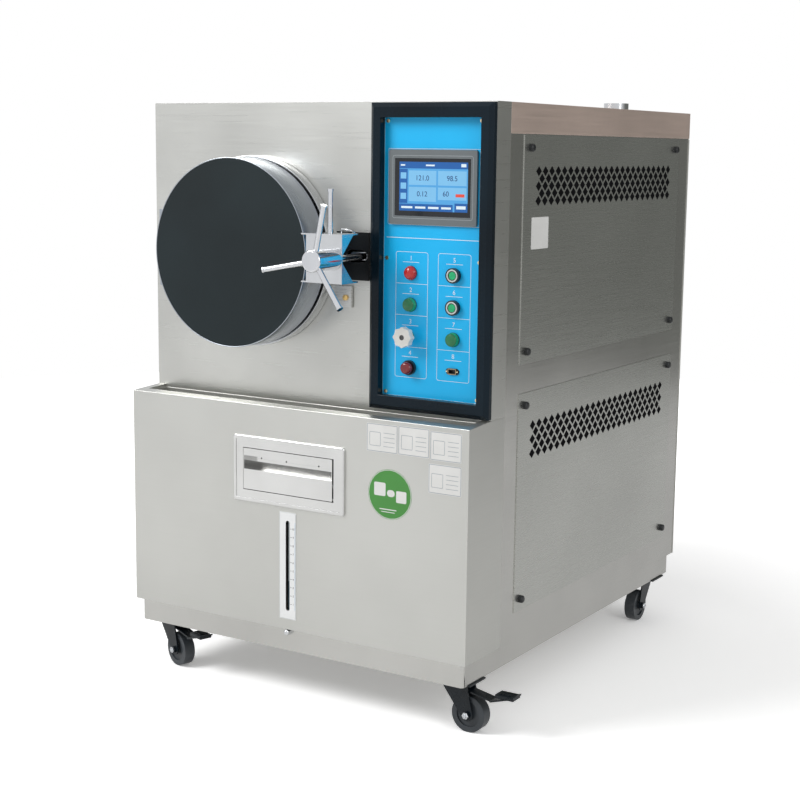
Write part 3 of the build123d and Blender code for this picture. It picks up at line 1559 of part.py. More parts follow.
for corner, (x, y, trail, braked) in casters.items():
    # Fork: a pressed crown and two cheeks, with the axle bolt across them
    with BuildPart() as caster_fork:
        with BuildSketch(caster_plane(x, y, crown_bottom, trail)):
            with Locations(((fork_ahead - fork_back) / 2, 0)):
                Rectangle(fork_back + fork_ahead, 2 * fork_outside)
            Circle(kingpin_radius + running_gap, mode=Mode.SUBTRACT)
        extrude(amount=fork_crown)
        for side in (-1, 1):
            near = fork_inside if side > 0 else -fork_outside
            with BuildSketch(caster_side_plane(x, y, trail, near)):
                with Locations(((fork_ahead - fork_back) / 2, crown_top - fork_crown / 2)):
                    Rectangle(fork_back + fork_ahead, fork_crown)
                with Locations((caster_trail, axle_height)):
                    Circle(fork_eye_radius)
                make_hull()
                with Locations((caster_trail, axle_height)):
                    Circle(axle_radius + running_gap, mode=Mode.SUBTRACT)
                if braked:
                    with Locations((pedal_pivot_ahead, pedal_pivot_z)):
                        Circle(pedal_pin_radius + running_gap, mode=Mode.SUBTRACT)
            extrude(amount=fork_sheet)
        with BuildSketch(caster_side_plane(x, y, trail, -fork_outside - axle_nut)):
            with Locations((caster_trail, axle_height)):
                Circle(axle_radius)
        extrude(amount=2 * (fork_outside + axle_nut))
        for start in (-fork_outside - axle_nut, fork_outside + running_gap):
            with BuildSketch(caster_side_plane(x, y, trail, start)):
                with Locations((caster_trail, axle_height)):
                    Circle(axle_nut_radius)
            extrude(amount=axle_nut - running_gap)
    write_piece(caster_fork, f"caster_fork_{corner}")

    # Wheel: a moulded core with a recessed face, and its grey tread ring
    with BuildPart() as caster_wheel:
        half_wheel = wheel_width / 2
        with BuildSketch(caster_side_plane(x, y, trail, -half_wheel)):
            with Locations((caster_trail, axle_height)):
                Circle(wheel_radius)
                Circle(wheel_core_radius + socket_gap, mode=Mode.SUBTRACT)
        extrude(amount=wheel_width)
        core_half = half_wheel - wheel_core_recess
        with BuildSketch(caster_side_plane(x, y, trail, -core_half)):
            with Locations((caster_trail, axle_height)):
                Circle(wheel_core_radius)
                Circle(axle_radius + running_gap, mode=Mode.SUBTRACT)
        extrude(amount=2 * core_half)
        boss_half = fork_inside - caster_gap
        with BuildSketch(caster_side_plane(x, y, trail, -boss_half)):
            with Locations((caster_trail, axle_height)):
                Circle(wheel_boss_radius)
                Circle(axle_radius + running_gap, mode=Mode.SUBTRACT)
        extrude(amount=2 * boss_half)
    write_piece(caster_wheel, f"caster_wheel_{corner}")

    # Brake pedal: a pressed lever on a pin through the cheeks, with a wider pad
    if braked:
        with BuildPart() as caster_pedal:
            half_sheet = pedal_sheet / 2
            neck_z = pedal_pivot_z - pedal_neck_drop * 0.5
            tip_z = neck_z + pedal_tip_rise
            with BuildSketch(caster_side_plane(x, y, trail, -pedal_width / 2)):
                with BuildLine():
                    Polyline(
                        (pedal_pivot_ahead, pedal_pivot_z - half_sheet),
                        (pedal_neck, neck_z - half_sheet),
                        (pedal_length, tip_z - half_sheet),
                        (pedal_length, tip_z + half_sheet),
                        (pedal_neck, neck_z + half_sheet),
                        (pedal_pivot_ahead, pedal_pivot_z + half_sheet),
                        close=True,
                    )
                make_face()
                with Locations((pedal_pivot_ahead, pedal_pivot_z)):
                    Circle(pedal_knuckle_radius)
            extrude(amount=pedal_width)
            with BuildSketch(caster_side_plane(x, y, trail, -pedal_pad_width / 2)):
                with BuildLine():
                    Polyline(
                        (pedal_neck, neck_z - half_sheet),
                        (pedal_length, tip_z - half_sheet),
                        (pedal_length, tip_z + half_sheet),
                        (pedal_neck, neck_z + half_sheet),
                        close=True,
                    )
                make_face()
            extrude(amount=pedal_pad_width)
            with BuildSketch(caster_side_plane(x, y, trail, -fork_outside)):
                with Locations((pedal_pivot_ahead, pedal_pivot_z)):
                    Circle(pedal_pin_radius)
            extrude(amount=2 * fork_outside)
        write_piece(caster_pedal, f"caster_pedal_{corner}")
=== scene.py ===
import math

import bmesh
import bpy
from mathutils import Matrix, Vector


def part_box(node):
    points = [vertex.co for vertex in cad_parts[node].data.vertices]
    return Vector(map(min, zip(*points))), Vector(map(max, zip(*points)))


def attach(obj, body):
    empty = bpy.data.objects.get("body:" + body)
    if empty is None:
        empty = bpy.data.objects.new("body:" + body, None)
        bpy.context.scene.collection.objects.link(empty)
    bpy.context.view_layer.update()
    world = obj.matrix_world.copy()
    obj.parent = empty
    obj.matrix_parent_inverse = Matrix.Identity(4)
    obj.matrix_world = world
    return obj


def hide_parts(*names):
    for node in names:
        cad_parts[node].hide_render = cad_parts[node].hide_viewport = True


for left_over in ("Cube", "Camera", "Light"):
    if left_over in bpy.data.objects:
        bpy.data.objects.remove(bpy.data.objects[left_over])
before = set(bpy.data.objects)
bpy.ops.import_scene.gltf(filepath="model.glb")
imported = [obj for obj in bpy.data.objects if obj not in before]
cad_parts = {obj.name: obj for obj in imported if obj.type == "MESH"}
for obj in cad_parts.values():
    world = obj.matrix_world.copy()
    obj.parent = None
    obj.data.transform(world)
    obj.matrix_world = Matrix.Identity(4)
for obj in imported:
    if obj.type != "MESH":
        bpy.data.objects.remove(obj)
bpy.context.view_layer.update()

# The cabinet's sheets are satin stainless steel, brushed from side to side before they are
# folded. Each is a bent sheet, spot welded or screwed to the frame, with its cut edges eased.
front_low, front_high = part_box("upper_front_panel")
cabinet_middle = (front_low[0] + front_high[0]) / 2


def spot(x, y, z):
    """A place in millimetres from the middle of the front panel's face, z from the floor."""
    return Vector((cabinet_middle + x / 1000, front_low[1] + y / 1000, z / 1000))


def add_step(owner, kind, **sockets):
    """One more step in a finish or in the room's light, with its sockets set or joined by name."""
    step = owner.node_tree.nodes.new("ShaderNode" + kind)
    for name, value in sockets.items():
        socket = step.inputs[name.replace("_", " ")]
        if isinstance(value, bpy.types.NodeSocket):
            owner.node_tree.links.new(value, socket)
        else:
            socket.default_value = value
    return step


def shop_finish(name, colour, roughness, metallic=0.0, drift=0.06, patches=9.0,
                grain=(900, 900, 900), grain_depth=0.08, uneven=0.12, waviness=0.0, **shader_sockets):
    """A finish whose colour drifts in soft patches and whose fine grain changes gloss and relief."""
    material = bpy.data.materials.new(name)
    material.use_nodes = True
    shader = material.node_tree.nodes["Principled BSDF"]
    shader.inputs["Metallic"].default_value = metallic
    for socket, value in shader_sockets.items():
        shader.inputs[socket.replace("_", " ")].default_value = value
    place = add_step(material, "TexCoord").outputs["Object"]
    clouds = add_step(material, "TexNoise", Vector=place, Scale=patches, Detail=3.0)
    tone = add_step(material, "ValToRGB", Fac=clouds.outputs["Fac"])
    for stop, where, lift in zip(tone.color_ramp.elements, (0.3, 0.7), (1 - drift, 1 + drift)):
        stop.position = where
        stop.color = [min(channel * lift, 1) for channel in colour] + [1]
    material.node_tree.links.new(tone.outputs["Color"], shader.inputs["Base Color"])
    stretched = add_step(material, "Mapping", Vector=place, Scale=grain)
    fine = add_step(material, "TexNoise", Vector=stretched.outputs["Vector"], Scale=1.0, Detail=2.0)
    gloss = add_step(material, "MapRange", Value=fine.outputs["Fac"], From_Min=0.3, From_Max=0.7,
                     To_Min=roughness * (1 - uneven), To_Max=roughness * (1 + uneven))
    material.node_tree.links.new(gloss.outputs["Result"], shader.inputs["Roughness"])
    relief = add_step(material, "Bump", Height=fine.outputs["Fac"], Strength=grain_depth, Distance=0.0002)
    if waviness:
        swell = add_step(material, "TexNoise", Vector=place, Scale=5.0, Detail=0.0)
        sheet = add_step(material, "Bump", Height=swell.outputs["Fac"], Strength=waviness, Distance=0.01)
        material.node_tree.links.new(sheet.outputs["Normal"], relief.inputs["Normal"])
    material.node_tree.links.new(relief.outputs["Normal"], shader.inputs["Normal"])
    return material


def coat(material, *nodes):
    """Gives solids of the frame their finish."""
    for node in nodes:
        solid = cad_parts[node]
        if not solid.material_slots:
            solid.data.materials.append(material)
        for slot in solid.material_slots:
            slot.material = material


def ease_edges(width, *nodes):
    """Breaks the sharp edges of solids, so that each edge catches a thin line of light."""
    for node in nodes:
        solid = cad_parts[node]
        joined = solid.modifiers.new("joined corners", "WELD")
        joined.merge_threshold = 0.00002
        eased = solid.modifiers.new("eased edges", "BEVEL")
        eased.width = width / 1000
        eased.segments = 2
        eased.limit_method = "ANGLE"
        eased.angle_limit = math.radians(40)
        eased.harden_normals = False


brushed_across = (7, 7, 620)
front_steel = shop_finish("front_steel", (0.585, 0.585, 0.555), 0.32, 0.9, drift=0.13, patches=2.6,
                          grain=brushed_across, grain_depth=0.10, uneven=0.15, waviness=0.03)
cover_steel = shop_finish("cover_steel", (0.60, 0.60, 0.57), 0.38, 0.9, drift=0.06, patches=2.4,
                          grain=brushed_across, grain_depth=0.09, uneven=0.12, waviness=0.02)
# The side panels take a darker copy of the same steel, as painted shade.
shaded_side_steel = shop_finish("shaded_side_steel", (0.54, 0.545, 0.515), 0.28, 0.95, drift=0.06, patches=2.5,
                         grain=brushed_across, grain_depth=0.07, uneven=0.12, waviness=0.03)
# The top cover's copy of the steel is warmer and lighter than the other sheets: painted light, for the warm
# light that falls on its folds.
warm_lit_top_steel = shop_finish("warm_lit_top_steel", (0.93, 0.75, 0.665), 0.45, 0.9, drift=0.08, patches=3.0,
                        grain=(620, 7, 620), grain_depth=0.07, uneven=0.12, waviness=0.03)
coat(front_steel, "upper_front_panel", "rear_panel")
coat(cover_steel, "lower_front_cover", "drip_trough")
coat(shaded_side_steel, "side_panel_right_upper", "side_panel_right_lower",
     "side_panel_left_upper", "side_panel_left_lower")
coat(warm_lit_top_steel, "top_cover")
ease_edges(0.7, "upper_front_panel", "lower_front_cover", "drip_trough", "top_cover")

# The frame and the plinth are folded from the same stainless steel, welded and ground, and
# the water tank behind the gauge is a duller sheet with sealed seams.
frame_steel = shop_finish("frame_steel", (0.57, 0.565, 0.54), 0.24, 1.0, drift=0.07, patches=4.0,
                          grain=brushed_across, grain_depth=0.07, waviness=0.08)
inner_steel = shop_finish("inner_steel", (0.33, 0.33, 0.32), 0.45, 0.8, drift=0.12, patches=6.0,
                          grain=brushed_across)
coat(frame_steel, "base_frame", "cabinet_frame")
coat(inner_steel, "water_tank")
ease_edges(0.7, "base_frame")

# Behind each field of diamond holes lies a black mat, pressed against the sheet. The holes' mouths are
# covered with black films as painted shade, so that only the thin lattice stays bright.
black_mat_and_hole_shade = shop_finish("black_mat_and_hole_shade", (0.006, 0.006, 0.007), 0.95, drift=0.3, patches=60,
                          grain=(500, 500, 500), grain_depth=0.6, Specular_IOR_Level=0.05)
side_face = 425.0
rear_face = 975.0
side_field_middle = 512.5
upper_field = 1087.0
lower_field = 570.0
hole_pitch = 29.1
row_pitch = 14.8
holes_in_a_row = 24
hole_shade_half_length = 12.4
hole_shade_half_height = 10.4
hole_shade_film = 0.06
mat_gap = 2.1
mat_thickness = 6.0
mat_half_length = 346.0
mat_half_height = 40.0


def make_piece(name, shell, *materials):
    """A new piece of the scene from a shell, with its finishes."""
    mesh = bpy.data.meshes.new(name)
    shell.to_mesh(mesh)
    shell.free()
    for material in materials:
        mesh.materials.append(material)
    piece = bpy.data.objects.new(name, mesh)
    bpy.context.scene.collection.objects.link(piece)
    return piece


def add_vent(shell, middle, height, place):
    """The mouths of one field of holes, covered in black as painted shade, and the two faces of its mat.

    place() gives a point from its depth below the sheet's face, how far along and how high."""
    for row in range(-2, 3):
        holes = holes_in_a_row - abs(row) % 2
        for hole in range(holes):
            along = middle + hole_pitch * (hole - (holes - 1) / 2)
            up = height + row_pitch * row
            shell.faces.new([shell.verts.new(place(-hole_shade_film, along + hole_shade_half_length * a,
                                                   up + hole_shade_half_height * b))
                             for a, b in ((1, 0), (0, 1), (-1, 0), (0, -1))])
    for depth in (mat_gap, mat_gap + mat_thickness):
        shell.faces.new([shell.verts.new(place(depth, middle + a * mat_half_length,
                                               height + b * mat_half_height))
                         for a, b in ((-1, -1), (1, -1), (1, 1), (-1, 1))])


vent_shell = bmesh.new()
for height in (lower_field, upper_field):
    for side in (-1, 1):
        add_vent(vent_shell, side_field_middle, height,
                 lambda depth, y, z: spot(side * (side_face - depth), y, z))
add_vent(vent_shell, 0.0, upper_field, lambda depth, x, z: spot(x, rear_face - depth, z))
filter_mats = make_piece("filter_mats", vent_shell, black_mat_and_hole_shade)
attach(filter_mats, "cabinet")

# Sixteen black plastic knobs hold the side panels. Each is a moulded dome with a fine
# spark-eroded skin over a threaded insert.
knob_plastic = shop_finish("knob_plastic", (0.012, 0.014, 0.016), 0.32, drift=0.15, patches=40,
                           grain=(1500, 1500, 1500), grain_depth=0.15)
coat(knob_plastic, "side_panel_knobs")

# The vent outlet on top and the drain plug at the plinth are turned from bar and nickel
# plated. The cable gland at the rear is moulded from black plastic.
turned_steel = shop_finish("turned_steel", (0.66, 0.67, 0.68), 0.16, 1.0, drift=0.05, patches=14,
                           grain=(400, 400, 400), grain_depth=0.04)
coat(turned_steel, "vent_nozzle", "drain_valve")
coat(knob_plastic, "power_gland")

# The pressure vessel is welded from thick stainless plate, with a turned flange. Its shelf
# and its bent heater stand inside, a little stained by steam.
vessel_steel = shop_finish("vessel_steel", (0.55, 0.56, 0.57), 0.25, 1.0, drift=0.10, patches=8.0,
                           grain=(300, 300, 300), grain_depth=0.08)
coat(vessel_steel, "vessel_shell", "heater_coil", "sample_rack")
ease_edges(1.2, "vessel_shell")

# The round door is a spun steel drum with a matte black painted disc let into its front.
# It hangs on two straps at the left and closes on a ring of black silicone rubber. Its inner
# plate and the hinge's bracket are of the vessel's steel.
drum_steel = shop_finish("drum_steel", (0.40, 0.43, 0.47), 0.30, 0.95, drift=0.05, patches=5.0,
                         grain=(9, 500, 9), grain_depth=0.08, waviness=0.02)
door_paint = shop_finish("door_paint", (0.012, 0.020, 0.023), 0.50, drift=0.3, patches=3.0,
                         grain=(700, 700, 700), grain_depth=0.2, uneven=0.2, Specular_IOR_Level=0.22)
seal_rubber = shop_finish("seal_rubber", (0.020, 0.021, 0.022), 0.55, drift=0.2, patches=20,
                          grain=(800, 800, 800))
coat(drum_steel, "door_drum", "door_arm")
coat(door_paint, "door_face")
coat(seal_rubber, "door_seal")
coat(vessel_steel, "door_plate", "hinge_bracket")
ease_edges(0.6, "door_drum")
ease_edges(0.5, "hinge_bracket")

# The latch is a chrome plated handwheel of a turned hub and three pressed-in spokes, on a
# folded steel bracket. A black slotted plate on the cabinet takes the spindle's lug. The
# door's grip and the pin of its hinge are plated too.
chrome = shop_finish("chrome", (0.72, 0.73, 0.75), 0.12, 1.0, drift=0.04, patches=20,
                     grain=(350, 350, 350), grain_depth=0.03)
bracket_steel = shop_finish("bracket_steel", (0.66, 0.67, 0.68), 0.20, 1.0, drift=0.06, patches=10,
                            grain=(9, 9, 500), grain_depth=0.15)
keeper_paint = shop_finish("keeper_paint", (0.006, 0.008, 0.010), 0.34, drift=0.3, patches=15,
                           grain=(900, 900, 900), Specular_IOR_Level=0.25)
coat(chrome, "handwheel_hub", "handwheel_spokes", "grip_rod", "hinge_pin", "latch_spindle")
coat(bracket_steel, "latch_bracket")
coat(keeper_paint, "keeper_plate")
ease_edges(0.5, "latch_bracket", "keeper_plate")

# Below the keeper a small steel stop is fixed to the cabinet with a brass coloured bolt,
# and a bent wire lies on the bracket's upper flange.
stop_steel = shop_finish("stop_steel", (0.60, 0.60, 0.58), 0.28, 1.0, drift=0.08, patches=12,
                         grain=brushed_across)
brass = shop_finish("brass", (0.80, 0.55, 0.22), 0.26, 1.0, drift=0.15, patches=60)
stop_eased = 0.001
bolt_x, bolt_z = 84.0, 856.0
bolt_head = [(6.5, -7.0, 0), (6.5, -10.4, 0), (5.6, -11.2, 0), (0.0, -11.6, 0)]
wire_radius = 0.0012
wire_bends = ((112, -64, 992), (112, -66, 997), (116, -70, 999), (128, -74, 999), (138, -72, 998),
              (141, -64, 994), (141, -58, 990.6))


def add_box(shell, low, high):
    """A plain box between two corners, added to a shell."""
    made = bmesh.ops.create_cube(shell, size=1.0)
    for corner in made["verts"]:
        corner.co = Vector([a + (part + 0.5) * (b - a) for a, b, part in zip(low, high, corner.co)])


def turned(name, profile, middle_x, middle_z, materials, body, facets=48):
    """A turned piece on an axis that points forward, from (radius, y, finish) points."""
    shell = bmesh.new()
    rings = []
    for radius, y, _ in profile:
        ring = []
        for facet in range(facets if radius else 1):
            angle = 2 * math.pi * facet / facets
            ring.append(shell.verts.new(spot(middle_x + radius * math.cos(angle), y,
                                             middle_z + radius * math.sin(angle))))
        rings.append(ring)
    for (near, far), (_, _, finish_number) in zip(zip(rings, rings[1:]), profile[1:]):
        for facet in range(facets):
            after = (facet + 1) % facets
            corners = [near[facet % len(near)], near[after % len(near)],
                       far[after % len(far)], far[facet % len(far)]]
            corners = list(dict.fromkeys(corners))
            if len(corners) > 2:
                face = shell.faces.new(corners)
                face.material_index = finish_number
                face.smooth = True
    bmesh.ops.recalc_face_normals(shell, faces=shell.faces[:])
    piece = make_piece(name, shell, *materials)
    piece.data.set_sharp_from_angle(angle=math.radians(35))
    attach(piece, body)
    return piece


stop_shell = bmesh.new()
add_box(stop_shell, spot(48, -7, 836), spot(98, -0.2, 880))
bmesh.ops.bevel(stop_shell, geom=stop_shell.edges[:], offset=stop_eased, segments=2, affect="EDGES")
door_stop = make_piece("door_stop", stop_shell, stop_steel)
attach(door_stop, "cabinet")
turned("stop_bolt", bolt_head, bolt_x, bolt_z, (brass,), "cabinet", 6)
wire = bpy.data.curves.new("bent_wire", "CURVE")
wire.dimensions = "3D"
wire.bevel_depth = wire_radius
run = wire.splines.new("NURBS")
run.points.add(len(wire_bends) - 1)
for point, bend in zip(run.points, wire_bends):
    point.co = (*spot(*bend), 1)
run.use_endpoint_u = True
run.order_u = 3
wire.materials.append(chrome)
bent_wire = bpy.data.objects.new("bent_wire", wire)
bpy.context.scene.collection.objects.link(bent_wire)
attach(bent_wire, "door")

# The control panel is a bevelled frame with black gloss paint round a blue enamelled plate,
# held by six pan-head screws that have yellowed a little.
bezel_paint = shop_finish("bezel_paint", (0.002, 0.009, 0.016), 0.26, drift=0.3, patches=6.0,
                          grain=(1200, 1200, 1200), grain_depth=0.05, Specular_IOR_Level=0.2)
panel_enamel = shop_finish("panel_enamel", (0.002, 0.50, 1.0), 0.35, drift=0.07, patches=3.0,
                           grain=(1500, 1500, 1500), grain_depth=0.04)
yellowed_zinc = shop_finish("yellowed_zinc", (0.90, 0.78, 0.50), 0.22, 1.0, drift=0.12, patches=90)
coat(bezel_paint, "control_bezel")
coat(panel_enamel, "control_plate")
coat(yellowed_zinc, "control_plate_screws")
ease_edges(0.8, "control_bezel")


def flat_film(name, outlines, y, material, body, thick=0.0):
    """A thin printed or stuck film that faces forward, from outlines of (x, z) points."""
    shell = bmesh.new()
    for outline in outlines:
        front = [shell.verts.new(spot(x, y, z)) for x, z in outline]
        shell.faces.new(front)
        if thick:
            back = [shell.verts.new(corner.co + Vector((0, thick / 1000, 0))) for corner in front]
            shell.faces.new(back)
            for n in range(len(front)):
                after = (n + 1) % len(front)
                shell.faces.new((front[n], back[n], back[after], front[after]))
    bmesh.ops.recalc_face_normals(shell, faces=shell.faces[:])
    film = make_piece(name, shell, material)
    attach(film, body)
    return film


def rounded(left, right, bottom, top, corner, steps=6):
    """The outline of a rectangle with rounded corners, as (x, z) points."""
    points = []
    for turn, (x, z) in enumerate(((right - corner, top - corner), (left + corner, top - corner),
                                   (left + corner, bottom + corner), (right - corner, bottom + corner))):
        for step in range(steps + 1):
            angle = math.pi / 2 * (turn + step / steps)
            points.append((x + corner * math.cos(angle), z + corner * math.sin(angle)))
    return points


def ruled(left, right, bottom, top, corner, width):
    """A closed printed line with rounded corners, as a ring of four-sided pieces."""
    outer = rounded(left, right, bottom, top, corner)
    inner = rounded(left + width, right - width, bottom + width, top - width, corner - width)
    count = len(outer)
    return [(outer[n], outer[(n + 1) % count], inner[(n + 1) % count], inner[n]) for n in range(count)]


def bar(left, right, bottom, top):
    """A plain rectangle, as (x, z) points."""
    return [(left, bottom), (right, bottom), (right, top), (left, top)]


def print_number(name, words, x, z, height, y, material, body):
    """A plain printed number that faces forward."""
    letters = bpy.data.curves.new(name, "FONT")
    letters.body = words
    letters.size = height / 700
    letters.align_x = "CENTER"
    letters.extrude = 0.00004
    letters.materials.append(material)
    number = bpy.data.objects.new(name, letters)
    number.location = spot(x, y, z)
    number.rotation_euler = (math.pi / 2, 0, 0)
    bpy.context.scene.collection.objects.link(number)
    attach(number, body)


print_gap = 0.08
plate_face = 1.5
left_controls, right_controls = 235.0, 335.0
control_rows = (913.5, 850.1, 786.7, 723.3)
fields = ((199.5, 274.7), (297.7, 372.5))
field_bottom, field_top = 702.5, 955.8
field_corner = 5.0
field_rules = (892.2, 828.9, 764.7)
line_width = 0.9
heading_half = 19
number_height = 9.0
white_ink = shop_finish("white_ink", (0.80, 0.90, 0.97), 0.45, drift=0.03, patches=60,
                        grain=(1500, 1500, 1500))
lines = ruled(163.6, 406.4, 656.8, 1226.2, 1.5, line_width)
lines += ruled(179.3, 389.3, 1009.0, 1158.8, 2.0, 0.8)
lines.append(bar(176.6, 390.0, 982.4, 983.6))
for left, right in fields:
    lines += ruled(left, right, field_bottom, field_top, field_corner, line_width)
    for height in field_rules:
        lines.append(bar(left + line_width, right - line_width,
                         height - line_width / 2, height + line_width / 2))
for column in (left_controls, right_controls):
    for row in control_rows:
        lines.append(bar(column - heading_half, column + heading_half, row + 21.2, row + 22.2))
flat_film("panel_lines", lines, plate_face - print_gap, white_ink, "cabinet")
for place in range(8):
    column = (left_controls, right_controls)[place // 4]
    print_number("panel_number_%d" % (place + 1), str(place + 1), column, control_rows[place % 4] + 25.5,
                 number_height, plate_face - print_gap, white_ink, "cabinet")

# The touch screen is a 7 inch panel in a grey moulded bezel, with a thin pale line printed
# round its glass. It shows a plain screen of boxes and values, lit from behind.
housing_plastic = shop_finish("housing_plastic", (0.15, 0.17, 0.18), 0.42, drift=0.05, patches=12,
                              grain=(1400, 1400, 1400), grain_depth=0.15)
pale_print = shop_finish("pale_print", (0.42, 0.46, 0.48), 0.5, drift=0.04, patches=50)
coat(housing_plastic, "hmi_housing")
ease_edges(0.8, "hmi_housing")
screen_black = shop_finish("screen_black", (0.010, 0.012, 0.015), 0.12, drift=0.1, patches=20,
                           grain=(300, 300, 300), grain_depth=0.01)
coat(screen_black, "hmi_screen")
housing_face = -4.56
flat_film("hmi_line", ruled(193.0, 377.0, 1022.0, 1145.5, 5.0, 0.7), housing_face, pale_print, "cabinet")


def lit_colour(name, colour, strength=0.5):
    """A part of the lit picture: a faint backlight behind glossy glass."""
    glow = shop_finish(name, [channel * 0.5 for channel in colour], 0.16, drift=0.05, patches=30,
                       grain=(300, 300, 300), grain_depth=0.01)
    shader = glow.node_tree.nodes["Principled BSDF"]
    shader.inputs["Emission Color"].default_value = (*colour, 1)
    shader.inputs["Emission Strength"].default_value = strength
    return glow


picture = {
    "ground": ((0.09, 0.40, 0.80), [bar(209, 365, 1037, 1133)]),
    "bar": ((0.01, 0.12, 0.42), [bar(209, 365, 1120, 1133), bar(209, 228, 1052, 1119),
                                 bar(209, 332, 1037, 1051), bar(336, 365, 1037, 1054)]),
    "box": ((0.22, 0.56, 0.88), [bar(231, 294, 1088, 1116), bar(298, 362, 1088, 1116),
                                 bar(231, 294, 1056, 1084), bar(298, 362, 1060, 1084),
                                 bar(212, 225, 1100, 1112), bar(212, 225, 1080, 1092),
                                 bar(212, 225, 1060, 1072)]),
    "white": ((0.80, 0.93, 1.0), [bar(270, 290, 1125, 1128), bar(212, 222, 1125, 1128),
                                  bar(350, 361, 1124, 1130), bar(214, 240, 1042, 1046),
                                  bar(246, 270, 1042, 1046), bar(276, 300, 1042, 1046),
                                  bar(306, 328, 1042, 1046), bar(340, 361, 1043, 1049)]),
    "red": ((0.85, 0.08, 0.05), [bar(338, 358, 1066, 1072)]),
}
picture_face = -4.33
layer_step = 0.02
for layer, (part, (colour, shapes)) in enumerate(picture.items()):
    flat_film("screen_" + part, shapes, picture_face - layer_step * layer, lit_colour("lit_" + part, colour),
              "cabinet")
screen_ink = shop_finish("screen_ink", (0.01, 0.05, 0.20), 0.2, drift=0.1, patches=40)
value_height = 10.0
values_face = -4.44
for name, words, x, z in (("screen_value_a", "121.0", 262, 1097), ("screen_value_b", "98.5", 330, 1097),
                          ("screen_value_c", "0.12", 262, 1066), ("screen_value_d", "60", 316, 1067)):
    print_number(name, words, x, z, value_height, values_face, screen_ink, "cabinet")

# The pilot lamps are screwed into the plate: a red dome and two green lenses, each moulded
# in clear plastic over a reflector. Behind the plate each has its threaded body and nut.
collar_plastic = shop_finish("collar_plastic", (0.010, 0.012, 0.014), 0.30, drift=0.15, patches=60,
                             grain=(1500, 1500, 1500), grain_depth=0.1)
red_lens = shop_finish("red_lens", (0.55, 0.012, 0.010), 0.14, drift=0.12, patches=120,
                       grain=(600, 600, 600), grain_depth=0.02, Coat_Weight=0.4)
green_lens = shop_finish("green_lens", (0.006, 0.17, 0.055), 0.20, drift=0.12, patches=120,
                         grain=(600, 600, 600), grain_depth=0.02, Coat_Weight=0.3)
# The lenses' flanks take a lighter green than their faces: painted light.
green_flank_highlight = shop_finish("green_flank_highlight", (0.02, 0.36, 0.16), 0.25, drift=0.12, patches=120)
lens_radius = 14.0
lens_foot = -1.4
dome_rise = 9.6
lens_top = -11.0
lamp_shank = [(0.0, 35.5, 0), (9.0, 35.5, 0), (9.0, 12.0, 0), (10.5, 12.0, 0), (10.5, 1.5, 0),
              (14.5, 1.5, 0), (14.5, -0.6, 0), (14.2, -1.0, 0)]
dome = [(lens_radius * math.cos(math.radians(lift)), lens_foot - dome_rise * math.sin(math.radians(lift)), 1)
        for lift in range(0, 90, 15)]
dome.append((0.0, lens_top, 1))
flat_lens = [(lens_radius, lens_foot, 1), (12.9, -8.8, 1), (12.2, -9.6, 2), (10.4, -9.8, 2), (9.0, -10.6, 2),
             (0.0, lens_top, 2)]
red_lamp = turned("red_lamp", lamp_shank + dome, left_controls, control_rows[0], (collar_plastic, red_lens),
                  "cabinet")
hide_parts("pilot_lamps")
for name, column, row in (("green_lamp_left", left_controls, control_rows[1]),
                          ("green_lamp_right", right_controls, control_rows[2])):
    lamp = turned(name, lamp_shank + flat_lens, column, row, (collar_plastic, green_flank_highlight, green_lens),
                  "cabinet")
    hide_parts("pilot_lamps")

# Three push buttons of 22 mm: two green ones with a white ring, and a dark red dome. Each
# plunger slides in a black moulded collar that is screwed through the plate.
button_green = shop_finish("button_green", (0.008, 0.46, 0.17), 0.28, drift=0.1, patches=100,
                           grain=(900, 900, 900), Coat_Weight=0.2)
button_red = shop_finish("button_red", (0.20, 0.008, 0.010), 0.20, drift=0.15, patches=100,
                         grain=(900, 900, 900), Coat_Weight=0.5)
ring_white = shop_finish("ring_white", (0.72, 0.76, 0.74), 0.35, drift=0.06, patches=80)
coat(collar_plastic, "button_collars")
coat(button_green, "start_button", "run_button")
coat(button_red, "red_button")
plunger_rim = [(7.9, -7.1, 0), (8.1, -7.7, 0), (9.5, -7.8, 0), (9.6, -8.1, 1), (10.2, -8.1, 1),
               (10.25, -6.5, 1)]
collar_ring = [(10.5, -7.9, 0), (10.6, -8.5, 0), (11.9, -8.6, 0), (12.4, -7.9, 0)]
for name, row in (("start_button", control_rows[0]), ("run_button", control_rows[1])):
    rim = turned(name + "_rim", plunger_rim, right_controls, row, (collar_plastic, ring_white), name)
    ring = turned(name + "_ring", collar_ring, right_controls, row, (ring_white,), "cabinet")

# The exhaust valve has a white lobed knob with a dark screw in its middle. The brass body
# and its nut are behind the plate.
knob_white = shop_finish("knob_white", (0.80, 0.79, 0.75), 0.32, drift=0.05, patches=50,
                         grain=(900, 900, 900), grain_depth=0.08)
dark_screw = shop_finish("dark_screw", (0.10, 0.10, 0.10), 0.35, 0.8, drift=0.2, patches=150)
coat(knob_white, "valve_knob")
coat(brass, "exhaust_valve")
screw_head = [(5.2, -30.5, 0), (5.2, -31.6, 0), (4.6, -32.2, 0), (2.4, -32.4, 0), (2.2, -31.4, 0),
              (0.0, -31.4, 0)]
turned("knob_screw", screw_head, left_controls, control_rows[2], (dark_screw,), "valve_knob")

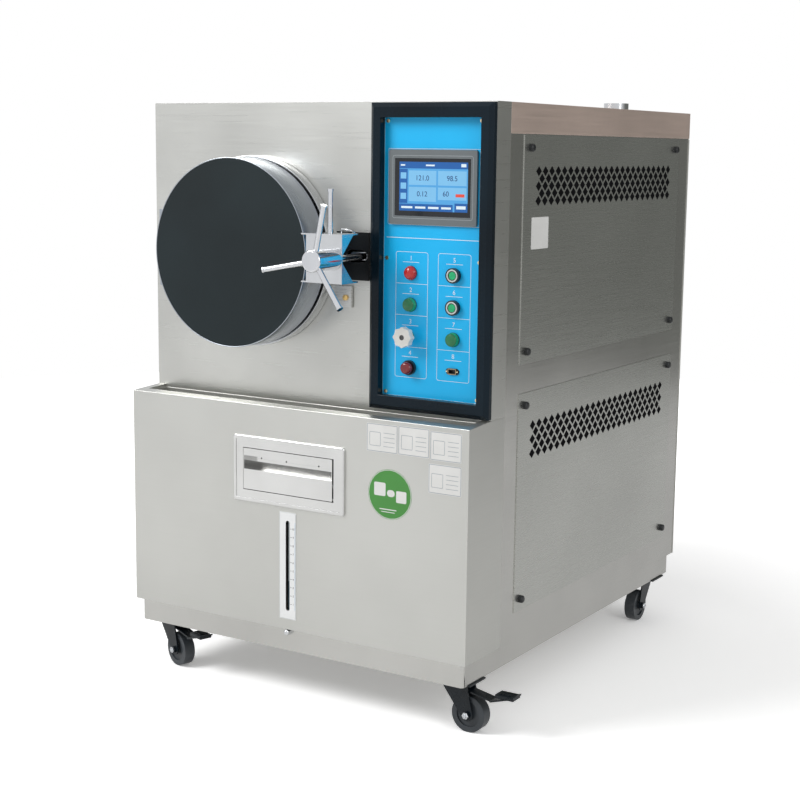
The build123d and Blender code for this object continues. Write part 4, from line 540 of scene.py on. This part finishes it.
# The data socket is a moulded black insert behind a small bronze plated frame, with a white
# tongue and two screws.
bronze = shop_finish("bronze", (0.40, 0.30, 0.18), 0.30, 1.0, drift=0.15, patches=90)
coat(collar_plastic, "usb_socket")
socket_face = -2.3
socket_frame_thickness = 0.25
socket_middle = 723.35
socket_screw_head = [(1.7, -2.0, 0), (1.7, -2.5, 0), (1.3, -2.9, 0), (0.0, -3.0, 0)]
flat_film("socket_frame", ruled(325.4, 344.6, 717.4, 729.3, 2.2, 1.5), socket_face, bronze, "cabinet",
          socket_frame_thickness)
for name, column in (("socket_screw_left", 322.8), ("socket_screw_right", 347.2)):
    turned(name, socket_screw_head, column, socket_middle, (yellowed_zinc,), "cabinet", 20)

# The filling box is a folded steel tray let into the lower cover, with a beaded frame. Its
# flap is a bent sheet with a finger pocket, on a hidden hinge along its lower edge.
box_steel = shop_finish("box_steel", (0.68, 0.68, 0.67), 0.17, 1.0, drift=0.05, patches=8.0,
                        grain=brushed_across, grain_depth=0.18, waviness=0.03)
coat(box_steel, "fill_box", "fill_flap")
ease_edges(0.6, "fill_box")
ease_edges(0.4, "fill_flap")

# The level gauge is a white enamelled plate with a long slot. A glass tube stands behind the
# slot, with water in its lower third, and the scale is printed on the plate.
gauge_white = shop_finish("gauge_white", (0.90, 0.91, 0.91), 0.28, drift=0.03, patches=15,
                          grain=(900, 900, 900), grain_depth=0.04)
tube_glass = shop_finish("tube_glass", (0.42, 0.47, 0.50), 0.06, drift=0.04, patches=20,
                         grain=(300, 300, 300), grain_depth=0.01, Transmission_Weight=0.2, IOR=1.45)
gauge_water_blue = shop_finish("gauge_water_blue", (0.06, 0.10, 0.13), 0.08, drift=0.1, patches=30)
gauge_ink = shop_finish("gauge_ink", (0.06, 0.07, 0.08), 0.5, drift=0.1, patches=60)
pale_ink = shop_finish("pale_ink", (0.35, 0.55, 0.72), 0.5, drift=0.1, patches=60)
coat(gauge_white, "gauge_plate")
gauge_x = -4.5
gauge_face = -87.2
tube_y = -76.5
tube_bottom = 185.5
tube_radius = 5.0
water_height = 74.0
tube_height = 216.0
first_mark = 212.0
mark_pitch = 18.0
mark_half = 0.4
tube_profile = [(0.0, 0.0, 0), (tube_radius, 0.0, 0), (tube_radius, water_height, 0),
                (tube_radius, water_height + 1, 1), (tube_radius, tube_height, 1), (0.0, tube_height, 1)]
glass = turned("gauge_glass", tube_profile, 0.0, 0.0, (gauge_water_blue, tube_glass), "cabinet", 24)
glass.data.transform(Matrix.Translation(spot(gauge_x, tube_y, tube_bottom))
                     @ Matrix.Rotation(math.pi / 2, 4, "X") @ Matrix.Translation(-spot(0, 0, 0)))
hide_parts("gauge_tube")
scale_marks = []
for mark in range(10):
    level = first_mark + mark_pitch * mark
    scale_marks.append(bar(gauge_x + 6.6, gauge_x + 10.6, level - mark_half, level + mark_half))
    print_number("gauge_number_%d" % (mark + 1), str(mark + 1), gauge_x + 14.4, level - 2.0, 4.2,
                 gauge_face - print_gap, gauge_ink, "cabinet")
flat_film("gauge_marks", scale_marks, gauge_face - print_gap, gauge_ink, "cabinet")
flat_film("gauge_border", ruled(gauge_x - 20.4, gauge_x + 20.4, 179.1, 407.9, 2.5, 0.5),
          gauge_face - print_gap, pale_print, "cabinet")
flat_film("gauge_line", [bar(gauge_x + 18.4, gauge_x + 19.2, 200.0, 388.0)], gauge_face - print_gap,
          pale_ink, "cabinet")

# Four blank white labels and a plain green one are stuck on the lower cover, and a blank
# one on the right side. They are coated paper with rounded corners.
label_paper = shop_finish("label_paper", (0.80, 0.80, 0.78), 0.42, drift=0.03, patches=25,
                          grain=(700, 700, 700), grain_depth=0.06)
label_grey = shop_finish("label_grey", (0.20, 0.24, 0.30), 0.5, drift=0.05, patches=25)
label_green = shop_finish("label_green", (0.07, 0.29, 0.055), 0.38, drift=0.06, patches=12,
                          grain=(900, 900, 900), grain_depth=0.06)
label_face = -86.2
label_print = -86.26
label_thickness = 0.18
label_corner = 2.5
for name, left, right, bottom, top in (("label_a", 190.0, 263.0, 562.0, 619.0),
                                       ("label_b", 264.5, 336.0, 562.0, 620.0),
                                       ("label_c", 338.0, 409.0, 560.0, 617.6),
                                       ("label_d", 335.0, 409.5, 494.0, 553.0)):
    flat_film(name, [rounded(left, right, bottom, top, label_corner)], label_face, label_paper, "cabinet",
              label_thickness)
    rules = ruled(left + 1.0, right - 1.0, bottom + 1.0, top - 1.0, 2.2, 0.9)
    rules += [bar(left + 40, right - 7, bottom + 12 + 9 * n, bottom + 12.7 + 9 * n) for n in range(4)]
    rules += ruled(left + 7, left + 33, bottom + 12, bottom + 40, 2.0, 0.7)
    flat_film(name + "_rules", rules, label_print, label_grey, "cabinet")
disc_x, disc_z = 246.0, 478.6
disc_radius = 51.0
disc = [(disc_x + disc_radius * math.cos(math.radians(turn)),
         disc_z + disc_radius * math.sin(math.radians(turn))) for turn in range(0, 360, 6)]
flat_film("green_disc", [disc], label_face, label_green, "cabinet", label_thickness)
flat_film("green_disc_line", ruled(195.6, 296.4, 428.2, 529.0, 50.4, 1.1), label_print, label_paper,
          "cabinet")
disc_fields = [rounded(209.0, 236.0, 474.0, 501.0, 3.0), rounded(261.0, 285.0, 464.0, 488.0, 3.0),
               rounded(239.5, 257.5, 474.0, 488.0, 6.9), bar(222.0, 262.0, 446.5, 448.5),
               bar(226.0, 258.0, 441.5, 443.0)]
flat_film("green_disc_fields", disc_fields, label_print, label_paper, "cabinet")
side_label_face = 425.2
side_shell = bmesh.new()
side_shell.faces.new([side_shell.verts.new(spot(side_label_face, y, z))
                      for y, z in rounded(150.0, 226.0, 961.0, 1025.0, label_corner)])
side_label = make_piece("side_label", side_shell, label_paper)
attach(side_label, "cabinet")

# The four casters have black painted pressed forks on double ball races, and moulded grey
# wheels. The front pair has a brake pedal, and every axle ends in a bright nut.
caster_paint = shop_finish("caster_paint", (0.006, 0.010, 0.014), 0.28, drift=0.25, patches=30,
                           grain=(1000, 1000, 1000), grain_depth=0.12, Specular_IOR_Level=0.35)
wheel_rubber = shop_finish("wheel_rubber", (0.040, 0.047, 0.054), 0.38, drift=0.15, patches=30,
                           grain=(900, 900, 900), grain_depth=0.12)
casters = ("front_right", "front_left", "rear_right", "rear_left")
coat(caster_paint, "caster_plates", "caster_pedal_front_right", "caster_pedal_front_left")
for corner in casters:
    coat(caster_paint, "caster_fork_" + corner)
    coat(wheel_rubber, "caster_wheel_" + corner)
kingpin_x = {"right": 373.0, "left": -373.0}
kingpin_y = {"front": -21.0, "rear": 900.0}
trail_angle = {"front_right": 0.0, "front_left": -18.0, "rear_right": -90.0, "rear_left": -90.0}
axle_trail = 31
axle_height = 37.5
axle_half = 23.0
pad_plates = (((92, -15, 84.5), (134, 15, 92.5)), ((99, -11, 92.0), (127, 11, 94.0)))
rib_low, rib_high = (102, -8, 93.5), (105, 8, 95.2)
rib_pitch = 6
pad_eased = 0.9
for corner in casters[:2]:
    end, side = corner.split("_")
    pad_shell = bmesh.new()
    for low, high in pad_plates:
        add_box(pad_shell, low, high)
    for rib in range(4):
        add_box(pad_shell, (rib_low[0] + rib_pitch * rib, *rib_low[1:]),
                (rib_high[0] + rib_pitch * rib, *rib_high[1:]))
    bmesh.ops.bevel(pad_shell, geom=pad_shell.edges[:], offset=pad_eased, segments=2, affect="EDGES")
    pad_shell.transform(Matrix.Translation(spot(kingpin_x[side], kingpin_y[end], 0))
                        @ Matrix.Rotation(math.radians(trail_angle[corner]), 4, "Z") @ Matrix.Scale(0.001, 4))
    pad = make_piece("pedal_pad_" + corner, pad_shell, caster_paint)
    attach(pad, "pedal_" + corner)
nut_steel = shop_finish("nut_steel", (0.62, 0.64, 0.66), 0.25, 1.0, drift=0.1, patches=90)
nut_profile = [(7.4, 1.2, 0), (7.4, -2.4, 0), (6.6, -3.2, 0), (4.4, -3.4, 0), (4.0, -2.6, 0), (3.6, -4.0, 0),
               (2.2, -4.8, 0), (0.0, -5.0, 0)]
for corner in casters:
    end, side = corner.split("_")
    trail = math.radians(trail_angle[corner])
    for outward in (-1, 1):
        nut = turned("axle_nut_%s_%d" % (corner, outward + 2), nut_profile, 0.0, 0.0, (nut_steel,),
                     "fork_" + corner, 6)
        middle = spot(kingpin_x[side] + axle_trail * math.cos(trail) + outward * axle_half * math.sin(trail),
                      kingpin_y[end] + axle_trail * math.sin(trail) - outward * axle_half * math.cos(trail),
                      axle_height)
        facing = Matrix.Rotation(trail + (math.pi if outward < 0 else 0), 4, "Z")
        nut.data.transform(Matrix.Translation(middle) @ facing @ Matrix.Translation(-spot(0, 0, 0)))

# The studio floor is plain white and runs out before the horizon. It keeps the shadow near
# the object and grows brighter with distance.
floor_white = shop_finish("floor_white", (0.66, 0.66, 0.66), 0.9, drift=0.01, patches=1.0,
                          Specular_IOR_Level=0.0)


def join_shaders(owner, kind, first, second, **sockets):
    """Adds or mixes two shaders of a material or of the world."""
    step = add_step(owner, kind, **sockets)
    places = [socket for socket in step.inputs if socket.name == "Shader"]
    owner.node_tree.links.new(first.outputs[0], places[0])
    owner.node_tree.links.new(second.outputs[0], places[1])
    return step


seen = add_step(floor_white, "LightPath")
from_middle = add_step(floor_white, "VectorMath")
from_middle.operation = "LENGTH"
floor_white.node_tree.links.new(add_step(floor_white, "TexCoord").outputs["Object"], from_middle.inputs[0])
far_lift = add_step(floor_white, "MapRange", Value=from_middle.outputs["Value"], From_Min=0.9, From_Max=2.6,
                    To_Min=0.14, To_Max=0.85)
paint = floor_white.node_tree.nodes["Principled BSDF"]
doubled = join_shaders(floor_white, "AddShader", paint,
                       add_step(floor_white, "BsdfDiffuse", Color=(0.66, 0.66, 0.66, 1)))
far_glow = add_step(floor_white, "Emission", Color=(1, 1, 1, 1), Strength=far_lift.outputs["Result"])
seen_floor = join_shaders(floor_white, "AddShader", doubled, far_glow)
mirrored_floor = join_shaders(floor_white, "AddShader", paint,
                              add_step(floor_white, "Emission", Color=(1, 1, 1, 1), Strength=0.24))
unseen_floor = join_shaders(floor_white, "MixShader", paint, mirrored_floor,
                            Fac=seen.outputs["Is Glossy Ray"])
floor_mix = join_shaders(floor_white, "MixShader", unseen_floor, seen_floor,
                         Fac=seen.outputs["Is Camera Ray"])
floor_white.node_tree.links.new(floor_mix.outputs[0],
                                floor_white.node_tree.nodes["Material Output"].inputs["Surface"])
floor_radius = 4.6
floor_shell = bmesh.new()
bmesh.ops.create_circle(floor_shell, cap_ends=True, segments=96, radius=floor_radius)
floor = make_piece("floor", floor_shell, floor_white)

# The room: plain white behind the object, even light from all round, and a darker wall at
# the right rear that the steel mirrors.
world = bpy.data.worlds.new("studio")
bpy.context.scene.world = world
world.use_nodes = True
world.node_tree.nodes.clear()
dark_wall = Vector((0.50, 0.86, 0.02)).normalized()
towards = add_step(world, "VectorMath")
towards.operation = "DOT_PRODUCT"
world.node_tree.links.new(add_step(world, "TexCoord").outputs["Generated"], towards.inputs[0])
towards.inputs[1].default_value = dark_wall
wall_tone = add_step(world, "ValToRGB", Fac=towards.outputs["Value"])
wall_tone.color_ramp.elements[0].position = 0.25
wall_tone.color_ramp.elements[0].color = (0.84, 0.85, 0.87, 1)
wall_tone.color_ramp.elements[1].position = 0.85
wall_tone.color_ramp.elements[1].color = (0.17, 0.175, 0.165, 1)
mirrored = add_step(world, "Background", Color=wall_tone.outputs["Color"], Strength=1.0)
ambient = add_step(world, "Background", Color=(1, 1, 1, 1), Strength=0.50)
backdrop = add_step(world, "Background", Color=(1, 1, 1, 1), Strength=1.0)
path = add_step(world, "LightPath")
straight = add_step(world, "Math")
straight.operation = "MAXIMUM"
world.node_tree.links.new(path.outputs["Is Camera Ray"], straight.inputs[0])
world.node_tree.links.new(path.outputs["Is Transmission Ray"], straight.inputs[1])
around = join_shaders(world, "MixShader", ambient, mirrored, Fac=path.outputs["Is Glossy Ray"])
room = join_shaders(world, "MixShader", around, backdrop, Fac=straight.outputs[0])
world.node_tree.links.new(room.outputs[0], add_step(world, "OutputWorld").inputs["Surface"])

# A large soft lamp lights the front from the upper left, and a smaller one lifts the right
# side. Both are round cloth boxes on stands.
lamp_target = Vector((0.0, 0.0, 0.6))
for name, stand, size, power in (("key_lamp", (-2.6, -3.2, 3.6), 2.4, 140),
                                 ("fill_lamp", (3.4, -1.4, 2.2), 1.8, 25)):
    light = bpy.data.lights.new(name, "AREA")
    light.shape = "DISK"
    light.size = size
    light.energy = power
    lamp = bpy.data.objects.new(name, light)
    lamp.location = stand
    lamp.rotation_euler = (lamp_target - Vector(stand)).to_track_quat("-Z", "Y").to_euler()
    bpy.context.scene.collection.objects.link(lamp)

# The camera stands where the photograph was taken from, to the right of the cabinet's
# front and a little below its top.
camera_data = bpy.data.cameras.new("camera")
camera_data.sensor_width = 36.0
camera_data.lens = 69.58
camera_data.clip_end = 50
camera = bpy.data.objects.new("camera", camera_data)
rightward = Vector((0.84699619, 0.53147642, 0.0114139))
upward = Vector((-0.09459336, 0.12955255, 0.98705027))
backward = Vector((0.52311524, -0.83710749, 0.16000466))
viewpoint = spot(1854.338, -2625.55, 1156.755)
camera_turn = Matrix((rightward, upward, backward)).transposed().to_4x4()
camera.matrix_world = Matrix.Translation(viewpoint) @ camera_turn
bpy.context.scene.collection.objects.link(camera)
bpy.context.scene.camera = camera
bpy.context.scene.view_settings.view_transform = "Standard"

# Last the scene is brought up to date.
bpy.context.view_layer.update()
